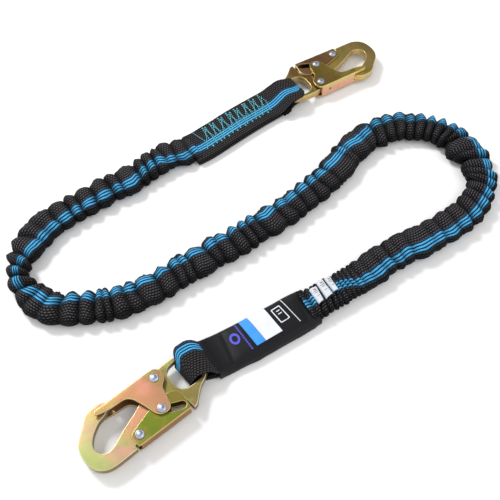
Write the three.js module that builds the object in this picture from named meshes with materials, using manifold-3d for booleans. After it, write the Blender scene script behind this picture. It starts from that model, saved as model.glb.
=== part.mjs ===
// Shock absorbing lanyard: two double-locking snap hooks joined by a tubular web
// jacket that holds an elastic energy-absorbing core.
// It lies relaxed on the ground in an S curve. Millimetres, +Z up, z = 0 is the ground.
import * as THREE from "three";
import { mergeVertices } from "three/addons/utils/BufferGeometryUtils.js";
import Module from "manifold-3d";

const wasm = await Module();
wasm.setup();

const DEG = Math.PI / 180;

// ---------------------------------------------------------------- web centre line
// [station along the web, x, y], from eye rim bar a to eye rim bar b
const LINE = [
  [16, -53.8, -167.3], [70, -8.4, -139.9], [88, 6.8, -130.4], [106, 22.2, -121.0],
  [124, 37.0, -111.5], [142, 52.1, -102.9], [160, 67.1, -94.0], [178, 81.8, -84.7],
  [196, 96.2, -75.0], [214, 110.3, -64.7], [232, 124.7, -54.1], [250, 139.6, -44.0],
  [268, 155.5, -35.6], [286, 171.3, -26.9], [304, 186.7, -17.7], [322, 201.7, -7.7],
  [340, 214.9, 4.4], [358, 225.4, 18.9], [376, 233.1, 35.1], [394, 236.2, 52.6],
  [412, 234.7, 70.4], [430, 228.2, 87.0], [448, 218.3, 102.0], [466, 204.9, 113.7],
  [484, 188.6, 120.8], [502, 171.0, 124.3], [520, 153.1, 124.1], [538, 136.3, 118.5],
  [556, 121.7, 108.2], [574, 108.7, 95.8], [592, 97.2, 82.0], [610, 87.4, 66.9],
  [628, 76.6, 52.5], [646, 64.4, 39.3], [664, 51.8, 26.5], [682, 38.5, 14.4],
  [700, 24.8, 2.6], [718, 10.8, -8.6], [736, -3.9, -19.0], [754, -18.4, -29.6],
  [772, -33.0, -40.2], [790, -48.2, -49.7], [808, -63.1, -59.9], [826, -77.4, -70.7],
  [844, -92.2, -80.9], [862, -107.4, -90.6], [880, -123.5, -98.6], [898, -140.6, -104.1],
  [916, -158.3, -107.2], [934, -176.2, -109.1], [952, -193.9, -108.2], [970, -209.6, -100.2],
  [988, -222.5, -87.7], [1006, -230.9, -72.3], [1024, -231.6, -54.7], [1042, -227.8, -37.1],
  [1060, -220.4, -21.0], [1078, -208.7, -7.4], [1096, -195.2, 4.5], [1114, -180.9, 15.4],
  [1132, -166.8, 26.6], [1150, -152.1, 36.9], [1168, -137.0, 46.7], [1186, -122.5, 57.4],
  [1204, -109.1, 69.4], [1222, -95.0, 80.4], [1240, -78.8, 88.0], [1258, -63.5, 97.2],
  [1276, -49.6, 108.7], [1294, -36.1, 120.5], [1312, -22.4, 132.3], [1335, -4.5, 146.7],
  [1383, 33.3, 174.7],
];
const LAST = LINE.length - 1;
const direction = (degrees) => [Math.cos(degrees * DEG), Math.sin(degrees * DEG)];
const TANGENT_A = direction(41);
const TANGENT_B = direction(35.5);

// stations of the rim bars and of the joints between the web pieces
const RIM_A = LINE[0][0];
const RIM_B = LINE[LAST][0];
const LIFT_A = 188;
const BEND_RIGHT = 478;
const BEND_LEFT = 1003;
const LIFT_B = 1246;

// change of x and y per unit of station at a table point
function slopeAt(i) {
  if (i === 0) return TANGENT_A;
  if (i === LAST) return TANGENT_B;
  const [before, here, after] = LINE.slice(i - 1, i + 2);
  const stepIn = here[0] - before[0];
  const stepOut = after[0] - here[0];
  return [1, 2].map((k) => {
    const slopeIn = (here[k] - before[k]) / stepIn;
    const slopeOut = (after[k] - here[k]) / stepOut;
    return (slopeIn * stepOut + slopeOut * stepIn) / (stepIn + stepOut);
  });
}

function straightFrom([start, x, y], [tx, ty], s) {
  const distance = s - start;
  return { x: x + tx * distance, y: y + ty * distance, tx, ty };
}

// point and unit tangent at a station; beyond the ends the line runs straight
function pointAt(s) {
  if (s <= RIM_A) return straightFrom(LINE[0], TANGENT_A, s);
  if (s >= RIM_B) return straightFrom(LINE[LAST], TANGENT_B, s);
  let i = 0;
  while (LINE[i + 1][0] < s) i++;
  const from = LINE[i];
  const to = LINE[i + 1];
  const step = to[0] - from[0];
  const u = (s - from[0]) / step;
  const slopeFrom = slopeAt(i);
  const slopeTo = slopeAt(i + 1);
  // cubic Hermite curve and its derivative
  const [x, y] = [1, 2].map((k) => (2 * u ** 3 - 3 * u ** 2 + 1) * from[k]
    + (u ** 3 - 2 * u ** 2 + u) * step * slopeFrom[k - 1]
    + (-2 * u ** 3 + 3 * u ** 2) * to[k]
    + (u ** 3 - u ** 2) * step * slopeTo[k - 1]);
  const [dx, dy] = [1, 2].map((k) => (6 * u * u - 6 * u) / step * from[k]
    + (3 * u * u - 4 * u + 1) * slopeFrom[k - 1]
    + (-6 * u * u + 6 * u) / step * to[k]
    + (3 * u * u - 2 * u) * slopeTo[k - 1]);
  const length = Math.hypot(dx, dy);
  return { x, y, tx: dx / length, ty: dy / length };
}

// ---------------------------------------------------------------- geometry helpers
function toSolid(geometry) {
  const bare = geometry.clone();
  bare.deleteAttribute("normal");
  bare.deleteAttribute("uv");
  const merged = mergeVertices(bare, 1e-4);
  return new wasm.Manifold(new wasm.Mesh({
    numProp: 3,
    vertProperties: new Float32Array(merged.attributes.position.array),
    triVerts: new Uint32Array(merged.index.array),
  }));
}

function toGeometry(manifold) {
  const mesh = manifold.getMesh();
  const geometry = new THREE.BufferGeometry();
  const positions = new Float32Array(mesh.vertProperties);
  geometry.setAttribute("position", new THREE.BufferAttribute(positions, 3));
  geometry.setIndex(new THREE.BufferAttribute(new Uint32Array(mesh.triVerts), 1));
  return geometry;
}

function outline(points, hole) {
  const shape = new THREE.Shape(points.map(([x, y]) => new THREE.Vector2(x, y)));
  if (hole) shape.holes.push(outline(hole));
  return shape;
}

// flat plate from an (x, y) outline, between two heights
function plate(points, bottom, top, bevel = 0) {
  const geometry = new THREE.ExtrudeGeometry(outline(points), {
    depth: top - bottom - 2 * bevel,
    bevelEnabled: bevel > 0,
    bevelThickness: bevel,
    bevelSize: bevel,
    bevelOffset: -bevel,
    bevelSegments: 1,
  });
  geometry.translate(0, 0, bottom + bevel);
  return geometry;
}

// block from an (x, z) outline, between two values of y
function crossBlock(points, yMin, yMax) {
  const geometry = new THREE.ExtrudeGeometry(outline(points), {
    depth: yMax - yMin,
    bevelEnabled: false,
  });
  geometry.rotateX(Math.PI / 2);
  geometry.translate(0, yMax, 0);
  return geometry;
}

// prism along +x from a (y, z) shape
function prism(shape, length, steps) {
  const geometry = new THREE.ExtrudeGeometry(shape, { depth: length, steps, bevelEnabled: false });
  geometry.applyMatrix4(new THREE.Matrix4().set(
    0, 0, 1, 0,
    1, 0, 0, 0,
    0, 1, 0, 0,
    0, 0, 0, 1,
  ));
  return geometry;
}

// the two edges of a strip that follows a line of points
function stripEdges(points, halfWidth) {
  return {
    upper: points.map(([x, y]) => [x, y + halfWidth]),
    lower: points.map(([x, y]) => [x, y - halfWidth]),
  };
}

const group = new THREE.Group();
group.position.set(-2.119, 2.781, 0);     // puts the origin mid footprint

function addMesh(name, geometry, material, parent = group) {
  const faceted = geometry.index ? geometry.toNonIndexed() : geometry;
  faceted.computeVertexNormals();
  const mesh = new THREE.Mesh(faceted, material);
  mesh.name = name;
  parent.add(mesh);
}

// ---------------------------------------------------------------- materials
const plated = ({ color, roughness }) =>
  new THREE.MeshStandardMaterial({ color, metalness: 0.85, roughness });
const matte = ({ color, roughness }) =>
  new THREE.MeshStandardMaterial({ color, metalness: 0, roughness });

const FINISH_A = {
  body: plated({ color: 0xcdbf8e, roughness: 0.38 }),
  gate: plated({ color: 0xcfa578, roughness: 0.36 }),
  lever: plated({ color: 0x94a03c, roughness: 0.4 }),
};
const FINISH_B = {
  body: plated({ color: 0x8f7a45, roughness: 0.38 }),
  gate: plated({ color: 0x8a7440, roughness: 0.36 }),
  lever: plated({ color: 0x6b5636, roughness: 0.4 }),
};
const RIVET_STEEL = plated({ color: 0xb9bec8, roughness: 0.28 });
const SPRING_STEEL = plated({ color: 0x8c8c90, roughness: 0.35 });
const WEB = matte({ color: 0x26272a, roughness: 0.9 });
const ELASTIC = matte({ color: 0xd8d4c6, roughness: 0.85 });
const PAD = matte({ color: 0x18181a, roughness: 0.8 });
const COVER = matte({ color: 0x131416, roughness: 0.75 });
const THREAD = matte({ color: 0x2c86b4, roughness: 0.7 });
const PAPER = matte({ color: 0xe8ebee, roughness: 0.6 });

// ---------------------------------------------------------------- snap hook
// Hook frame: x from the bow end to the eye, z = 0 on the mid plane.
const HOOK_MID_Z = 10.2;          // mid plane above the ground
const HOOK_A = { x: -146.7, y: -254.3, degrees: 42.9 };
const HOOK_B = { x: 138.8, y: 245.9, degrees: 213.8 };
const BODY_HALF = 4.0;            // half thickness of the forged body
const BODY_BEVEL = 0.7;
const GATE_PIVOT = [88, 14.2];
const LATCH_PIN = [75.5, -12];
const LEVER_PIVOT = [47.5, -16.8];
const PIN_RADIUS = 2.6;
const BORE_RADIUS = 2.95;
const HEAD_RADIUS = 4.3;
const HEAD_CLEARANCE = 0.3;       // between a side plate and a rivet head
const CUT_REACH = { body: 6, gate: 10, lever: 8 };   // half depth of the through cuts

// [x, y] outlines
const BOW_AND_SHANK = [
  [44.8, 25.8], [41, 28.8], [36, 30.4], [32.5, 30.5], [28, 30.2], [22.8, 28.3], [15.3, 21.7],
  [7, 15], [2.6, 9.4], [0.6, 3], [0, -3.3], [0.7, -10], [3.7, -16.7], [10.3, -22],
  [18.7, -23.8], [38.7, -24.5], [39.3, -20.6], [54, -20.2], [60, -16], [66, -9], [70, -7.6],
  [93.5, -7.6], [96.6, -10], [97.6, -29], [101.6, -27.8], [107.2, -23.2], [114.6, -17.6],
  [122.5, -13.8], [128.6, -9.6], [131.5, -5], [131.5, 6], [129, 12], [124, 16.8],
  [116, 19.4], [108, 20.6], [96, 20.6], [91.9, 19.6], [89.8, 18.9], [86.4, 19.0],
  [83.6, 17.3], [81.4, 14.4], [78, 12], [62.8, 5], [52, 0.8], [40.3, -3.3], [28.7, -8.3],
  [22.8, -10], [18.7, -9.7], [13.7, -6.7], [11.5, -1.7], [12.8, 3.3], [18.7, 10],
  [27.8, 15.8], [36, 18], [43.5, 21.5],
];
const EYE = [
  [98, -1], [98.6, -5], [100.8, -8.6], [104.5, -10.8], [110, -11.6], [118, -11.7],
  [122, -11.6], [123, -10.8], [123, 14], [122, 15.4], [118, 16.2], [110, 16.6],
  [104.5, 15.8], [100.8, 13.4], [98.6, 9], [98, 5],
];
const GATE = {
  inner: 6.4,                     // z of the side plate faces
  outer: 8.4,
  bevel: 0.4,
  overlap: 0.6,                   // how far the bridge runs into each side plate
  side: [
    [32.8, 25], [60, 23.7], [87, 22.5], [92, 21.7], [95.3, 19], [96.2, 14.2], [94.5, 8.3],
    [88.7, 3.3], [86.2, -5], [83.7, -13.3], [81.4, -16.2], [77.8, -17.4], [72, -15.8],
    [68.7, -11.7], [66.2, -1.7], [63.7, 6.7], [61.2, 12.5], [57, 15.8], [43.7, 17.5],
    [37, 19.2], [31.7, 22.5],
  ],
  bridge: [[48, 21.75], [91, 19.9], [91, 22.3], [48, 24.3]],
};
const LEVER = {
  inner: 4.3,
  outer: 6.1,
  bevel: 0.3,
  overlap: 0.5,
  side: [
    [40.6, -24.4], [40.9, -13.8], [43.4, -11.6], [65.3, -5.4], [75, -3.4], [89, -3.4],
    [95, -6.4], [97, -12], [96.5, -20], [95, -27.6],
  ],
  bridge: [[42.4, -24.6], [94.9, -27.6], [94.9, -25.5], [42.4, -22.5]],
};
const LEAF_SPRING = [
  [61.2, -17.9], [69.9, -18.9], [78.4, -20.0], [78.4, -19.3], [70, -18.2], [61.4, -17.2],
];
const LEAF_HALF = 3;              // half width

function cutThrough(part, points, reach) {
  return part.subtract(toSolid(plate(points, -reach, reach)));
}

function drill(part, [x, y], reach) {
  const bore = new THREE.CylinderGeometry(BORE_RADIUS, BORE_RADIUS, 2 * reach, 20);
  bore.rotateX(Math.PI / 2);
  bore.translate(x, y, 0);
  return part.subtract(toSolid(bore));
}

// folded channel: two side plates joined by a bridge
function channel({ inner, outer, bevel, overlap, side, bridge }) {
  return toSolid(plate(side, inner, outer, bevel))
    .add(toSolid(plate(side, -outer, -inner, bevel)))
    .add(toSolid(plate(bridge, -inner - overlap, inner + overlap)));
}

// forged body: bow, nose, shank, lever ear and eye
function hookBody() {
  let body = toSolid(plate(BOW_AND_SHANK, -BODY_HALF, BODY_HALF, BODY_BEVEL));
  body = cutThrough(body, EYE, CUT_REACH.body);
  body = drill(body, GATE_PIVOT, CUT_REACH.body);
  body = drill(body, LEVER_PIVOT, CUT_REACH.body);
  return toGeometry(body);
}

function hookGate() {
  let gate = drill(channel(GATE), GATE_PIVOT, CUT_REACH.gate);
  gate = drill(gate, LATCH_PIN, CUT_REACH.gate);
  return toGeometry(gate);
}

// lock lever, with a guide slot for the latch pin
function hookLever() {
  let lever = drill(channel(LEVER), LEVER_PIVOT, CUT_REACH.lever);
  lever = cutThrough(lever, slotOutline(), CUT_REACH.lever);
  return toGeometry(lever);
}

const SLOT = {
  startDegrees: -1.5,             // gate angles at the slot ends: open is 30 inward
  endDegrees: 30 + 1,
  steps: 6,
  leverRatio: 0.25,               // lever turn for each degree of gate turn
  radius: PIN_RADIUS + 0.6,
};

function turnAbout([x, y], [cx, cy], degrees) {
  const sin = Math.sin(degrees * DEG);
  const cos = Math.cos(degrees * DEG);
  return [cx + (x - cx) * cos - (y - cy) * sin, cy + (x - cx) * sin + (y - cy) * cos];
}

// path of the latch pin seen from the lever while gate and lever turn together
function slotPath() {
  const path = [];
  for (let i = 0; i <= SLOT.steps; i++) {
    const angle = SLOT.startDegrees + (SLOT.endDegrees - SLOT.startDegrees) * i / SLOT.steps;
    const pin = turnAbout(LATCH_PIN, GATE_PIVOT, angle);
    path.push(turnAbout(pin, LEVER_PIVOT, -angle * SLOT.leverRatio));
  }
  return path;
}

function slotOutline() {
  const path = slotPath();
  const last = path.length - 1;
  const r = SLOT.radius;
  const heading = (from, to) => Math.atan2(to[1] - from[1], to[0] - from[0]);
  // clockwise half circle, without its two end points
  const cap = ([x, y], startAngle) => [1, 2, 3, 4, 5].map((k) => {
    const angle = startAngle - k * Math.PI / 6;
    return [x + r * Math.cos(angle), y + r * Math.sin(angle)];
  });
  const left = [];
  const right = [];
  path.forEach(([x, y], i) => {
    const before = path[Math.max(0, i - 1)];
    const after = path[Math.min(last, i + 1)];
    const length = Math.hypot(after[0] - before[0], after[1] - before[1]);
    const tx = (after[0] - before[0]) / length;
    const ty = (after[1] - before[1]) / length;
    left.push([x - ty * r, y + tx * r]);
    right.unshift([x + ty * r, y - tx * r]);
  });
  return [
    ...left, ...cap(path[last], heading(path[last - 1], path[last]) + Math.PI / 2),
    ...right, ...cap(path[0], heading(path[0], path[1]) - Math.PI / 2),
  ];
}

// rivet along z with a domed head at each end; plateZ is the face the heads sit over
function rivet([x, y], plateZ, headHeight) {
  const reach = plateZ + HEAD_CLEARANCE;
  const upper = [
    [PIN_RADIUS, reach],
    [HEAD_RADIUS, reach],
    [HEAD_RADIUS, reach + 0.05 * headHeight],
    [HEAD_RADIUS * 0.9, reach + headHeight * 0.5],
    [HEAD_RADIUS * 0.55, reach + headHeight * 0.92],
    [0, reach + headHeight],
  ];
  const lower = upper.map(([radius, z]) => [radius, -z]).reverse();
  const profile = [...lower, ...upper].map(([radius, z]) => new THREE.Vector2(radius, z));
  const geometry = new THREE.LatheGeometry(profile, 16);
  geometry.rotateX(Math.PI / 2);
  geometry.translate(x, y, 0);
  return toGeometry(toSolid(geometry));
}

const COIL = {
  radius: 4.1,
  z: 5.0,
  rise: 0.4,
  start: 270 * DEG,
  sweep: 300 * DEG,
  leg: 11,
  legShare: 0.25,                 // part of the curve parameter spent on the leg
  wireRadius: 0.45,
  steps: 26,
};

// wire path of the gate spring: a straight leg along +x, then a rising arc round the pivot
class CoilPath extends THREE.Curve {
  getPoint(t, target = new THREE.Vector3()) {
    const [x, y] = GATE_PIVOT;
    if (t < COIL.legShare) {
      const remaining = (COIL.legShare - t) / COIL.legShare * COIL.leg;
      return target.set(x - remaining, y - COIL.radius, COIL.z);
    }
    const u = (t - COIL.legShare) / (1 - COIL.legShare);
    const angle = COIL.start + COIL.sweep * u;
    return target.set(
      x + COIL.radius * Math.cos(angle),
      y + COIL.radius * Math.sin(angle),
      COIL.z + COIL.rise * u,
    );
  }
}

function gateSpring() {
  const wire = outline([0, 1, 2, 3, 4, 5].map((i) => {
    const angle = i * Math.PI / 3;
    return [COIL.wireRadius * Math.cos(angle), COIL.wireRadius * Math.sin(angle)];
  }));
  wire.closePath();
  return new THREE.ExtrudeGeometry(wire, {
    extrudePath: new CoilPath(),
    steps: COIL.steps,
    bevelEnabled: false,
  });
}

function addHook(letter, place, finish) {
  const hook = new THREE.Group();
  hook.position.set(place.x, place.y, HOOK_MID_Z);
  hook.rotation.z = place.degrees * DEG;
  const add = (part, geometry, material) =>
    addMesh(`hook_${letter}_${part}`, geometry, material, hook);
  add("body", hookBody(), finish.body);
  add("gate", hookGate(), finish.gate);
  add("lock_lever", hookLever(), finish.lever);
  add("gate_pivot_rivet", rivet(GATE_PIVOT, GATE.outer, 1.5), RIVET_STEEL);
  add("latch_pin", rivet(LATCH_PIN, GATE.outer, 1.5), RIVET_STEEL);
  add("lever_pivot_rivet", rivet(LEVER_PIVOT, LEVER.outer, 1.7), RIVET_STEEL);
  add("gate_spring", gateSpring(), SPRING_STEEL);
  add("lever_spring", plate(LEAF_SPRING, -LEAF_HALF, LEAF_HALF), SPRING_STEEL);
  group.add(hook);
}
addHook("a", HOOK_A, FINISH_A);
addHook("b", HOOK_B, FINISH_B);

// ---------------------------------------------------------------- webbing
// Web pieces are shaped straight (x along the web, y to the left, z up), then laid on the
// centre line from station start; along = -1 runs them back towards hook a.
function lay(geometry, start, along = 1) {
  const laid = toGeometry(toSolid(geometry));
  const position = laid.attributes.position;
  for (let i = 0; i < position.count; i++) {
    const { x, y, tx, ty } = pointAt(start + along * position.getX(i));
    const offset = along * position.getY(i);
    position.setXYZ(i, x - ty * offset, y + tx * offset, position.getZ(i));
  }
  return laid;
}

// superellipse in (y, z), stretched so that its points reach the full width and height
function oval({ width, bottom, top, count, exponent = 0.55 }) {
  const midZ = (bottom + top) / 2;
  const power = (value) => Math.sign(value) * Math.abs(value) ** exponent;
  const points = [];
  for (let i = 0; i < count; i++) {
    const angle = (i + 0.5) / count * 2 * Math.PI;
    points.push([power(Math.cos(angle)), power(Math.sin(angle))]);
  }
  const maxY = Math.max(...points.map(([y]) => y));
  const maxZ = Math.max(...points.map(([, z]) => z));
  return points.map(([y, z]) => [
    y / maxY * width / 2,
    midZ + z / maxZ * (top - bottom) / 2,
  ]);
}

function flatBand(width, bottom, top) {
  const half = width / 2;
  return outline([[-half, bottom], [half, bottom], [half, top], [-half, top]]);
}

// V notches that give the joints room to move
const JOINT_GAP = 0.3;            // on each side of a joint
const BEND_MAX = 60;              // degrees
const LIFT_MAX = 60;
const LIFT_Z_A = 8.5;             // height of the notch tips
const LIFT_Z_B = 4.2;
const NOTCH_DEPTH = 30;
const LEFT = 1;
const RIGHT = -1;

function sideNotch(x, side) {
  const spread = Math.tan((BEND_MAX / 2 + 1.5) * DEG) * NOTCH_DEPTH;
  const y = side * NOTCH_DEPTH;
  return toSolid(plate([[x, 0], [x + side * spread, y], [x - side * spread, y]], -5, 30));
}

function topNotch(x, z) {
  const spread = Math.tan((LIFT_MAX / 2 + 6) * DEG) * NOTCH_DEPTH;
  const top = z + NOTCH_DEPTH;
  return toSolid(crossBlock([[x, z], [x + spread, top], [x - spread, top]], -30, 30));
}

const JACKET_WIDTH = 37;
const JACKET_TOP = 20.4;
const JACKET_SIDE_WALL = 4.5;
const JACKET_WALL = 4.4;          // above and below the core
const JACKET_STEP = 14;           // nominal length of one segment

// notches(local) lists the cuts; local turns a station into x of the straight piece
function addJacket(name, start, end, top, notches) {
  const section = outline(
    oval({ width: JACKET_WIDTH, bottom: 0, top, count: 14 }),
    oval({
      width: JACKET_WIDTH - 2 * JACKET_SIDE_WALL,
      bottom: JACKET_WALL,
      top: top - JACKET_WALL,
      count: 8,
    }),
  );
  const length = end - start;
  let jacket = toSolid(prism(section, length, Math.round(length / JACKET_STEP)));
  for (const notch of notches((station) => station - start)) jacket = jacket.subtract(notch);
  addMesh(name, lay(toGeometry(jacket), start), WEB);
}
addJacket("jacket_end_a", 140, LIFT_A - JOINT_GAP, 17,
  (local) => [topNotch(local(LIFT_A), LIFT_Z_A)]);
addJacket("jacket_right", LIFT_A + JOINT_GAP, BEND_RIGHT - JOINT_GAP, JACKET_TOP,
  (local) => [topNotch(local(LIFT_A), LIFT_Z_A), sideNotch(local(BEND_RIGHT), RIGHT)]);
addJacket("jacket_mid", BEND_RIGHT + JOINT_GAP, BEND_LEFT - JOINT_GAP, JACKET_TOP,
  (local) => [sideNotch(local(BEND_RIGHT), RIGHT), sideNotch(local(BEND_LEFT), LEFT)]);
addJacket("jacket_left", BEND_LEFT + JOINT_GAP, LIFT_B - JOINT_GAP, JACKET_TOP,
  (local) => [sideNotch(local(BEND_LEFT), LEFT), topNotch(local(LIFT_B), LIFT_Z_B)]);

// elastic energy-absorbing core: a flat band in pieces
const CORE_STEP = 16;             // nominal length of one segment
const CORE_BEND_GAP = 13;         // from a bend joint to the core
// [name, start station, end station, width, bottom, top]
const CORES = [
  ["core_end_a", 141, LIFT_A - 9, 22, 5.8, 11.2],
  ["core_right", LIFT_A + 10, BEND_RIGHT - CORE_BEND_GAP, 22, 7.4, 12.8],
  ["core_mid", BEND_RIGHT + CORE_BEND_GAP, BEND_LEFT - CORE_BEND_GAP, 22, 7.4, 12.8],
  ["core_left", BEND_LEFT + CORE_BEND_GAP, LIFT_B - 14, 22, 7.4, 12.8],
  ["core_end_b", LIFT_B + 7, 1292, 30, 3.5, 4.9],
];
for (const [name, start, end, width, bottom, top] of CORES) {
  const length = end - start;
  const band = prism(flatBand(width, bottom, top), length, Math.round(length / CORE_STEP));
  addMesh(name, lay(band, start), ELASTIC);
}

// ---------------------------------------------------------------- end loops and wear pads
const PLY = 2.6;                  // folded web thickness
const LOOP_INNER = 7.6;
const LOOP_OUTER = LOOP_INNER + PLY;
const LOOP_SLACK = 5;             // the loop reaches this far past the eye rim bar
const PAD_INNER = 6.7;
const PAD_OUTER = 7.3;

// (x, z) outline of two plies joined by a half round at the first leg row.
// legs: [x, half height outside, middle z, half gap between the plies]; without the last
// value the plies keep their full thickness
function loopSide(legs, inner, outer) {
  const edge = (sign) => legs.map(([x, half, midZ]) => [x, midZ + sign * half]);
  const innerEdge = (sign) => legs.map(([x, half, midZ, gap]) =>
    [x, midZ + sign * (gap ?? half - (outer - inner))]);
  const arc = (radius) => [1, 2, 3, 4, 5, 6, 7, 8, 9].map((i) => {
    const angle = Math.PI / 2 + Math.PI * i / 10;
    return [legs[0][0] + radius * Math.cos(angle), HOOK_MID_Z + radius * Math.sin(angle)];
  });
  return [
    ...edge(1).reverse(), ...arc(outer), ...edge(-1),
    ...innerEdge(-1).reverse(), ...arc(inner).reverse(), ...innerEdge(1),
  ];
}

// side outline trimmed to a plan; planEdge is the left edge [x, y], mirrored to the right
function loopSolid(side, planEdge) {
  const plan = [...planEdge.map(([x, y]) => [x, -y]), ...planEdge.slice().reverse()];
  return toSolid(crossBlock(side, -25, 25)).intersect(toSolid(plate(plan, -20, 40)));
}

// web loop that widens from the rim bar to full width at x = fullAt
function endLoop(legs, width, fullAt) {
  const rimWidth = 21;
  const planEdge = [
    [-20, rimWidth / 2],
    [4, rimWidth / 2],
    [fullAt * 0.6, (rimWidth * 0.35 + width * 0.65) / 2],
    [fullAt, width / 2],
    [legs[legs.length - 1][0], width / 2],
  ];
  return loopSolid(loopSide(legs, LOOP_INNER, LOOP_OUTER), planEdge);
}

const LOOP_START_LEGS = [
  [-LOOP_SLACK, LOOP_OUTER, HOOK_MID_Z],
  [0, LOOP_OUTER, HOOK_MID_Z],
  [4, LOOP_OUTER - 0.25, 10.1],
];
const LOOP_A_LEGS = [
  ...LOOP_START_LEGS,
  [9, 8.2, 9.2], [17, 4.8, 6.7], [22, 3.5, 5.0], [28, 3.1, 4.6, 0.5],
  ...[50, 66, 82, 98, 118].map((x) => [x, 3.1, 4.6, 0.3]),
];
const LOOP_B_LEGS = [
  ...LOOP_START_LEGS,
  [10, 8.6, 9.4], [19, 5.2, 6.4], [26, 4.2, 4.6],
  ...[31, 60, 76, 92, 108, RIM_B - LIFT_B - JOINT_GAP].map((x) => [x, 4.0, LIFT_Z_B, 1.2]),
];
const loopA = endLoop(LOOP_A_LEGS, 34, 24);
const loopB = endLoop(LOOP_B_LEGS, 41, 34).subtract(topNotch(RIM_B - LIFT_B, LIFT_Z_B));
addMesh("end_loop_a", lay(toGeometry(loopA), RIM_A), WEB);
addMesh("end_loop_b", lay(toGeometry(loopB), RIM_B, -1), WEB);

// wear pads: thin sleeves between each loop and the eye rim bar
function addWearPad(name, start, along) {
  const legs = [[0, PAD_OUTER, HOOK_MID_Z], [4, PAD_OUTER - 0.2, 10.1], [8.5, 5.2, 9.3]];
  const pad = loopSolid(loopSide(legs, PAD_INNER, PAD_OUTER), [[-12, 9.6], [8.5, 12.5]]);
  addMesh(name, lay(toGeometry(pad), start, along), PAD);
}
addWearPad("wear_pad_a", RIM_A, 1);
addWearPad("wear_pad_b", RIM_B, -1);

// ---------------------------------------------------------------- stitching
const STITCH = { strokes: 12, halfWidth: 0.9, inset: 1.2 };

// flat zigzag strip above the upper ply of a loop
function addStitching(name, { start, end, yMin, yMax, bottom, top }) {
  const middle = [];
  for (let i = 0; i <= STITCH.strokes; i++) {
    const y = i % 2 ? yMax - STITCH.inset : yMin + STITCH.inset;
    middle.push([(end - start) * i / STITCH.strokes, y]);
  }
  const { upper, lower } = stripEdges(middle, STITCH.halfWidth);
  addMesh(name, lay(plate([...upper.reverse(), ...lower], bottom, top), start), THREAD);
}
addStitching("loop_stitching_a",
  { start: 48, end: 128, yMin: -15, yMax: 15, bottom: 8.05, top: 8.75 });
addStitching("loop_stitching_b",
  { start: 1260, end: 1348, yMin: -6, yMax: 20, bottom: 8.55, top: 9.2 });

// ---------------------------------------------------------------- labels
// label cover: flat sleeve over the sewn end, with the label pages inside
function addLabelCover() {
  const [start, end] = [36, 137];
  const width = 41;
  const height = 13;
  const wall = 1.0;
  const sideWall = 1.3;
  const section = outline(
    oval({ width, bottom: 0, top: height, count: 16, exponent: 0.3 }),
    oval({
      width: width - 2 * sideWall,
      bottom: wall,
      top: height - wall,
      count: 16,
      exponent: 0.12,
    }),
  );
  addMesh("label_cover", lay(prism(section, end - start, 8), start), COVER);
}

function addLabelPages() {
  const [start, end] = [44, 130];
  const pages = prism(flatBand(31, 9.15, 11.4), end - start, 6);
  addMesh("label_pages", lay(pages, start), PAPER);
}

// inspection tag: strip folded in zigzag, above the jacket next to the cover
function addInspectionTag() {
  const start = 142;
  const folds = 12;
  const pitch = 2.9;
  const middle = [];
  for (let i = 0; i <= folds; i++) middle.push([i * pitch, i % 2 ? 19.9 : 17.9]);
  const { upper, lower } = stripEdges(middle, 0.55);
  const tag = crossBlock([...lower, ...upper.reverse()], 4, 23);
  addMesh("inspection_tag", lay(tag, start), PAPER);
}

addLabelCover();
addLabelPages();
addInspectionTag();

export default group;
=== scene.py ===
"""Ruffled elastic lanyard with a snap hook at each end, lying in loops on a floor.

The floor is z = 0 and z points up. The web follows a centre line in the XY plane, from hook a
at the lower left round to hook b at the upper right. A station is a length along that line;
"side" is the distance to the left of travel. Lengths are millimetres until `lay` or
`hook_matrix` turns them into metres; colours are sRGB from 0 to 255 until `lin`.
"""
import math

import bmesh
import bpy
import numpy as np
from mathutils import Matrix, Vector


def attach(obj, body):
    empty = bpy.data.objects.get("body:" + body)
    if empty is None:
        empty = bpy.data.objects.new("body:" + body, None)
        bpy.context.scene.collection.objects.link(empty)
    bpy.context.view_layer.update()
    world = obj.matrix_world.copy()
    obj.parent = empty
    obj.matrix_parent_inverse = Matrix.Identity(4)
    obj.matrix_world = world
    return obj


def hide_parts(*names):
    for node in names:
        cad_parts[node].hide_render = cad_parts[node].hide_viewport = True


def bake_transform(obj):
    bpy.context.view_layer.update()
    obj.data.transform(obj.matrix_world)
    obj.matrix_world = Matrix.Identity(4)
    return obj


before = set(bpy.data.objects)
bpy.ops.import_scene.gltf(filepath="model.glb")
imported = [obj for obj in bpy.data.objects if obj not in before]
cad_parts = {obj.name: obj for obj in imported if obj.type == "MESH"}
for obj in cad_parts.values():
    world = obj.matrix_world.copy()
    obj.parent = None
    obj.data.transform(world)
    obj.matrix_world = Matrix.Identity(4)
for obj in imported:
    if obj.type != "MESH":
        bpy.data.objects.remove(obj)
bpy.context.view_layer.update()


scene = bpy.context.scene
DEGREE = math.pi / 180
CAMERA_AT = np.array([-10.119, -455.219, 625.0])

# ------------------------------------------------------------------ centre line
SHIFT_X, SHIFT_Y = -2.119, 2.781       # from the measured origin to the frame's
STATIONS = np.array([16, *range(70, 1313, 18), 1335, 1383], float)
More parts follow.
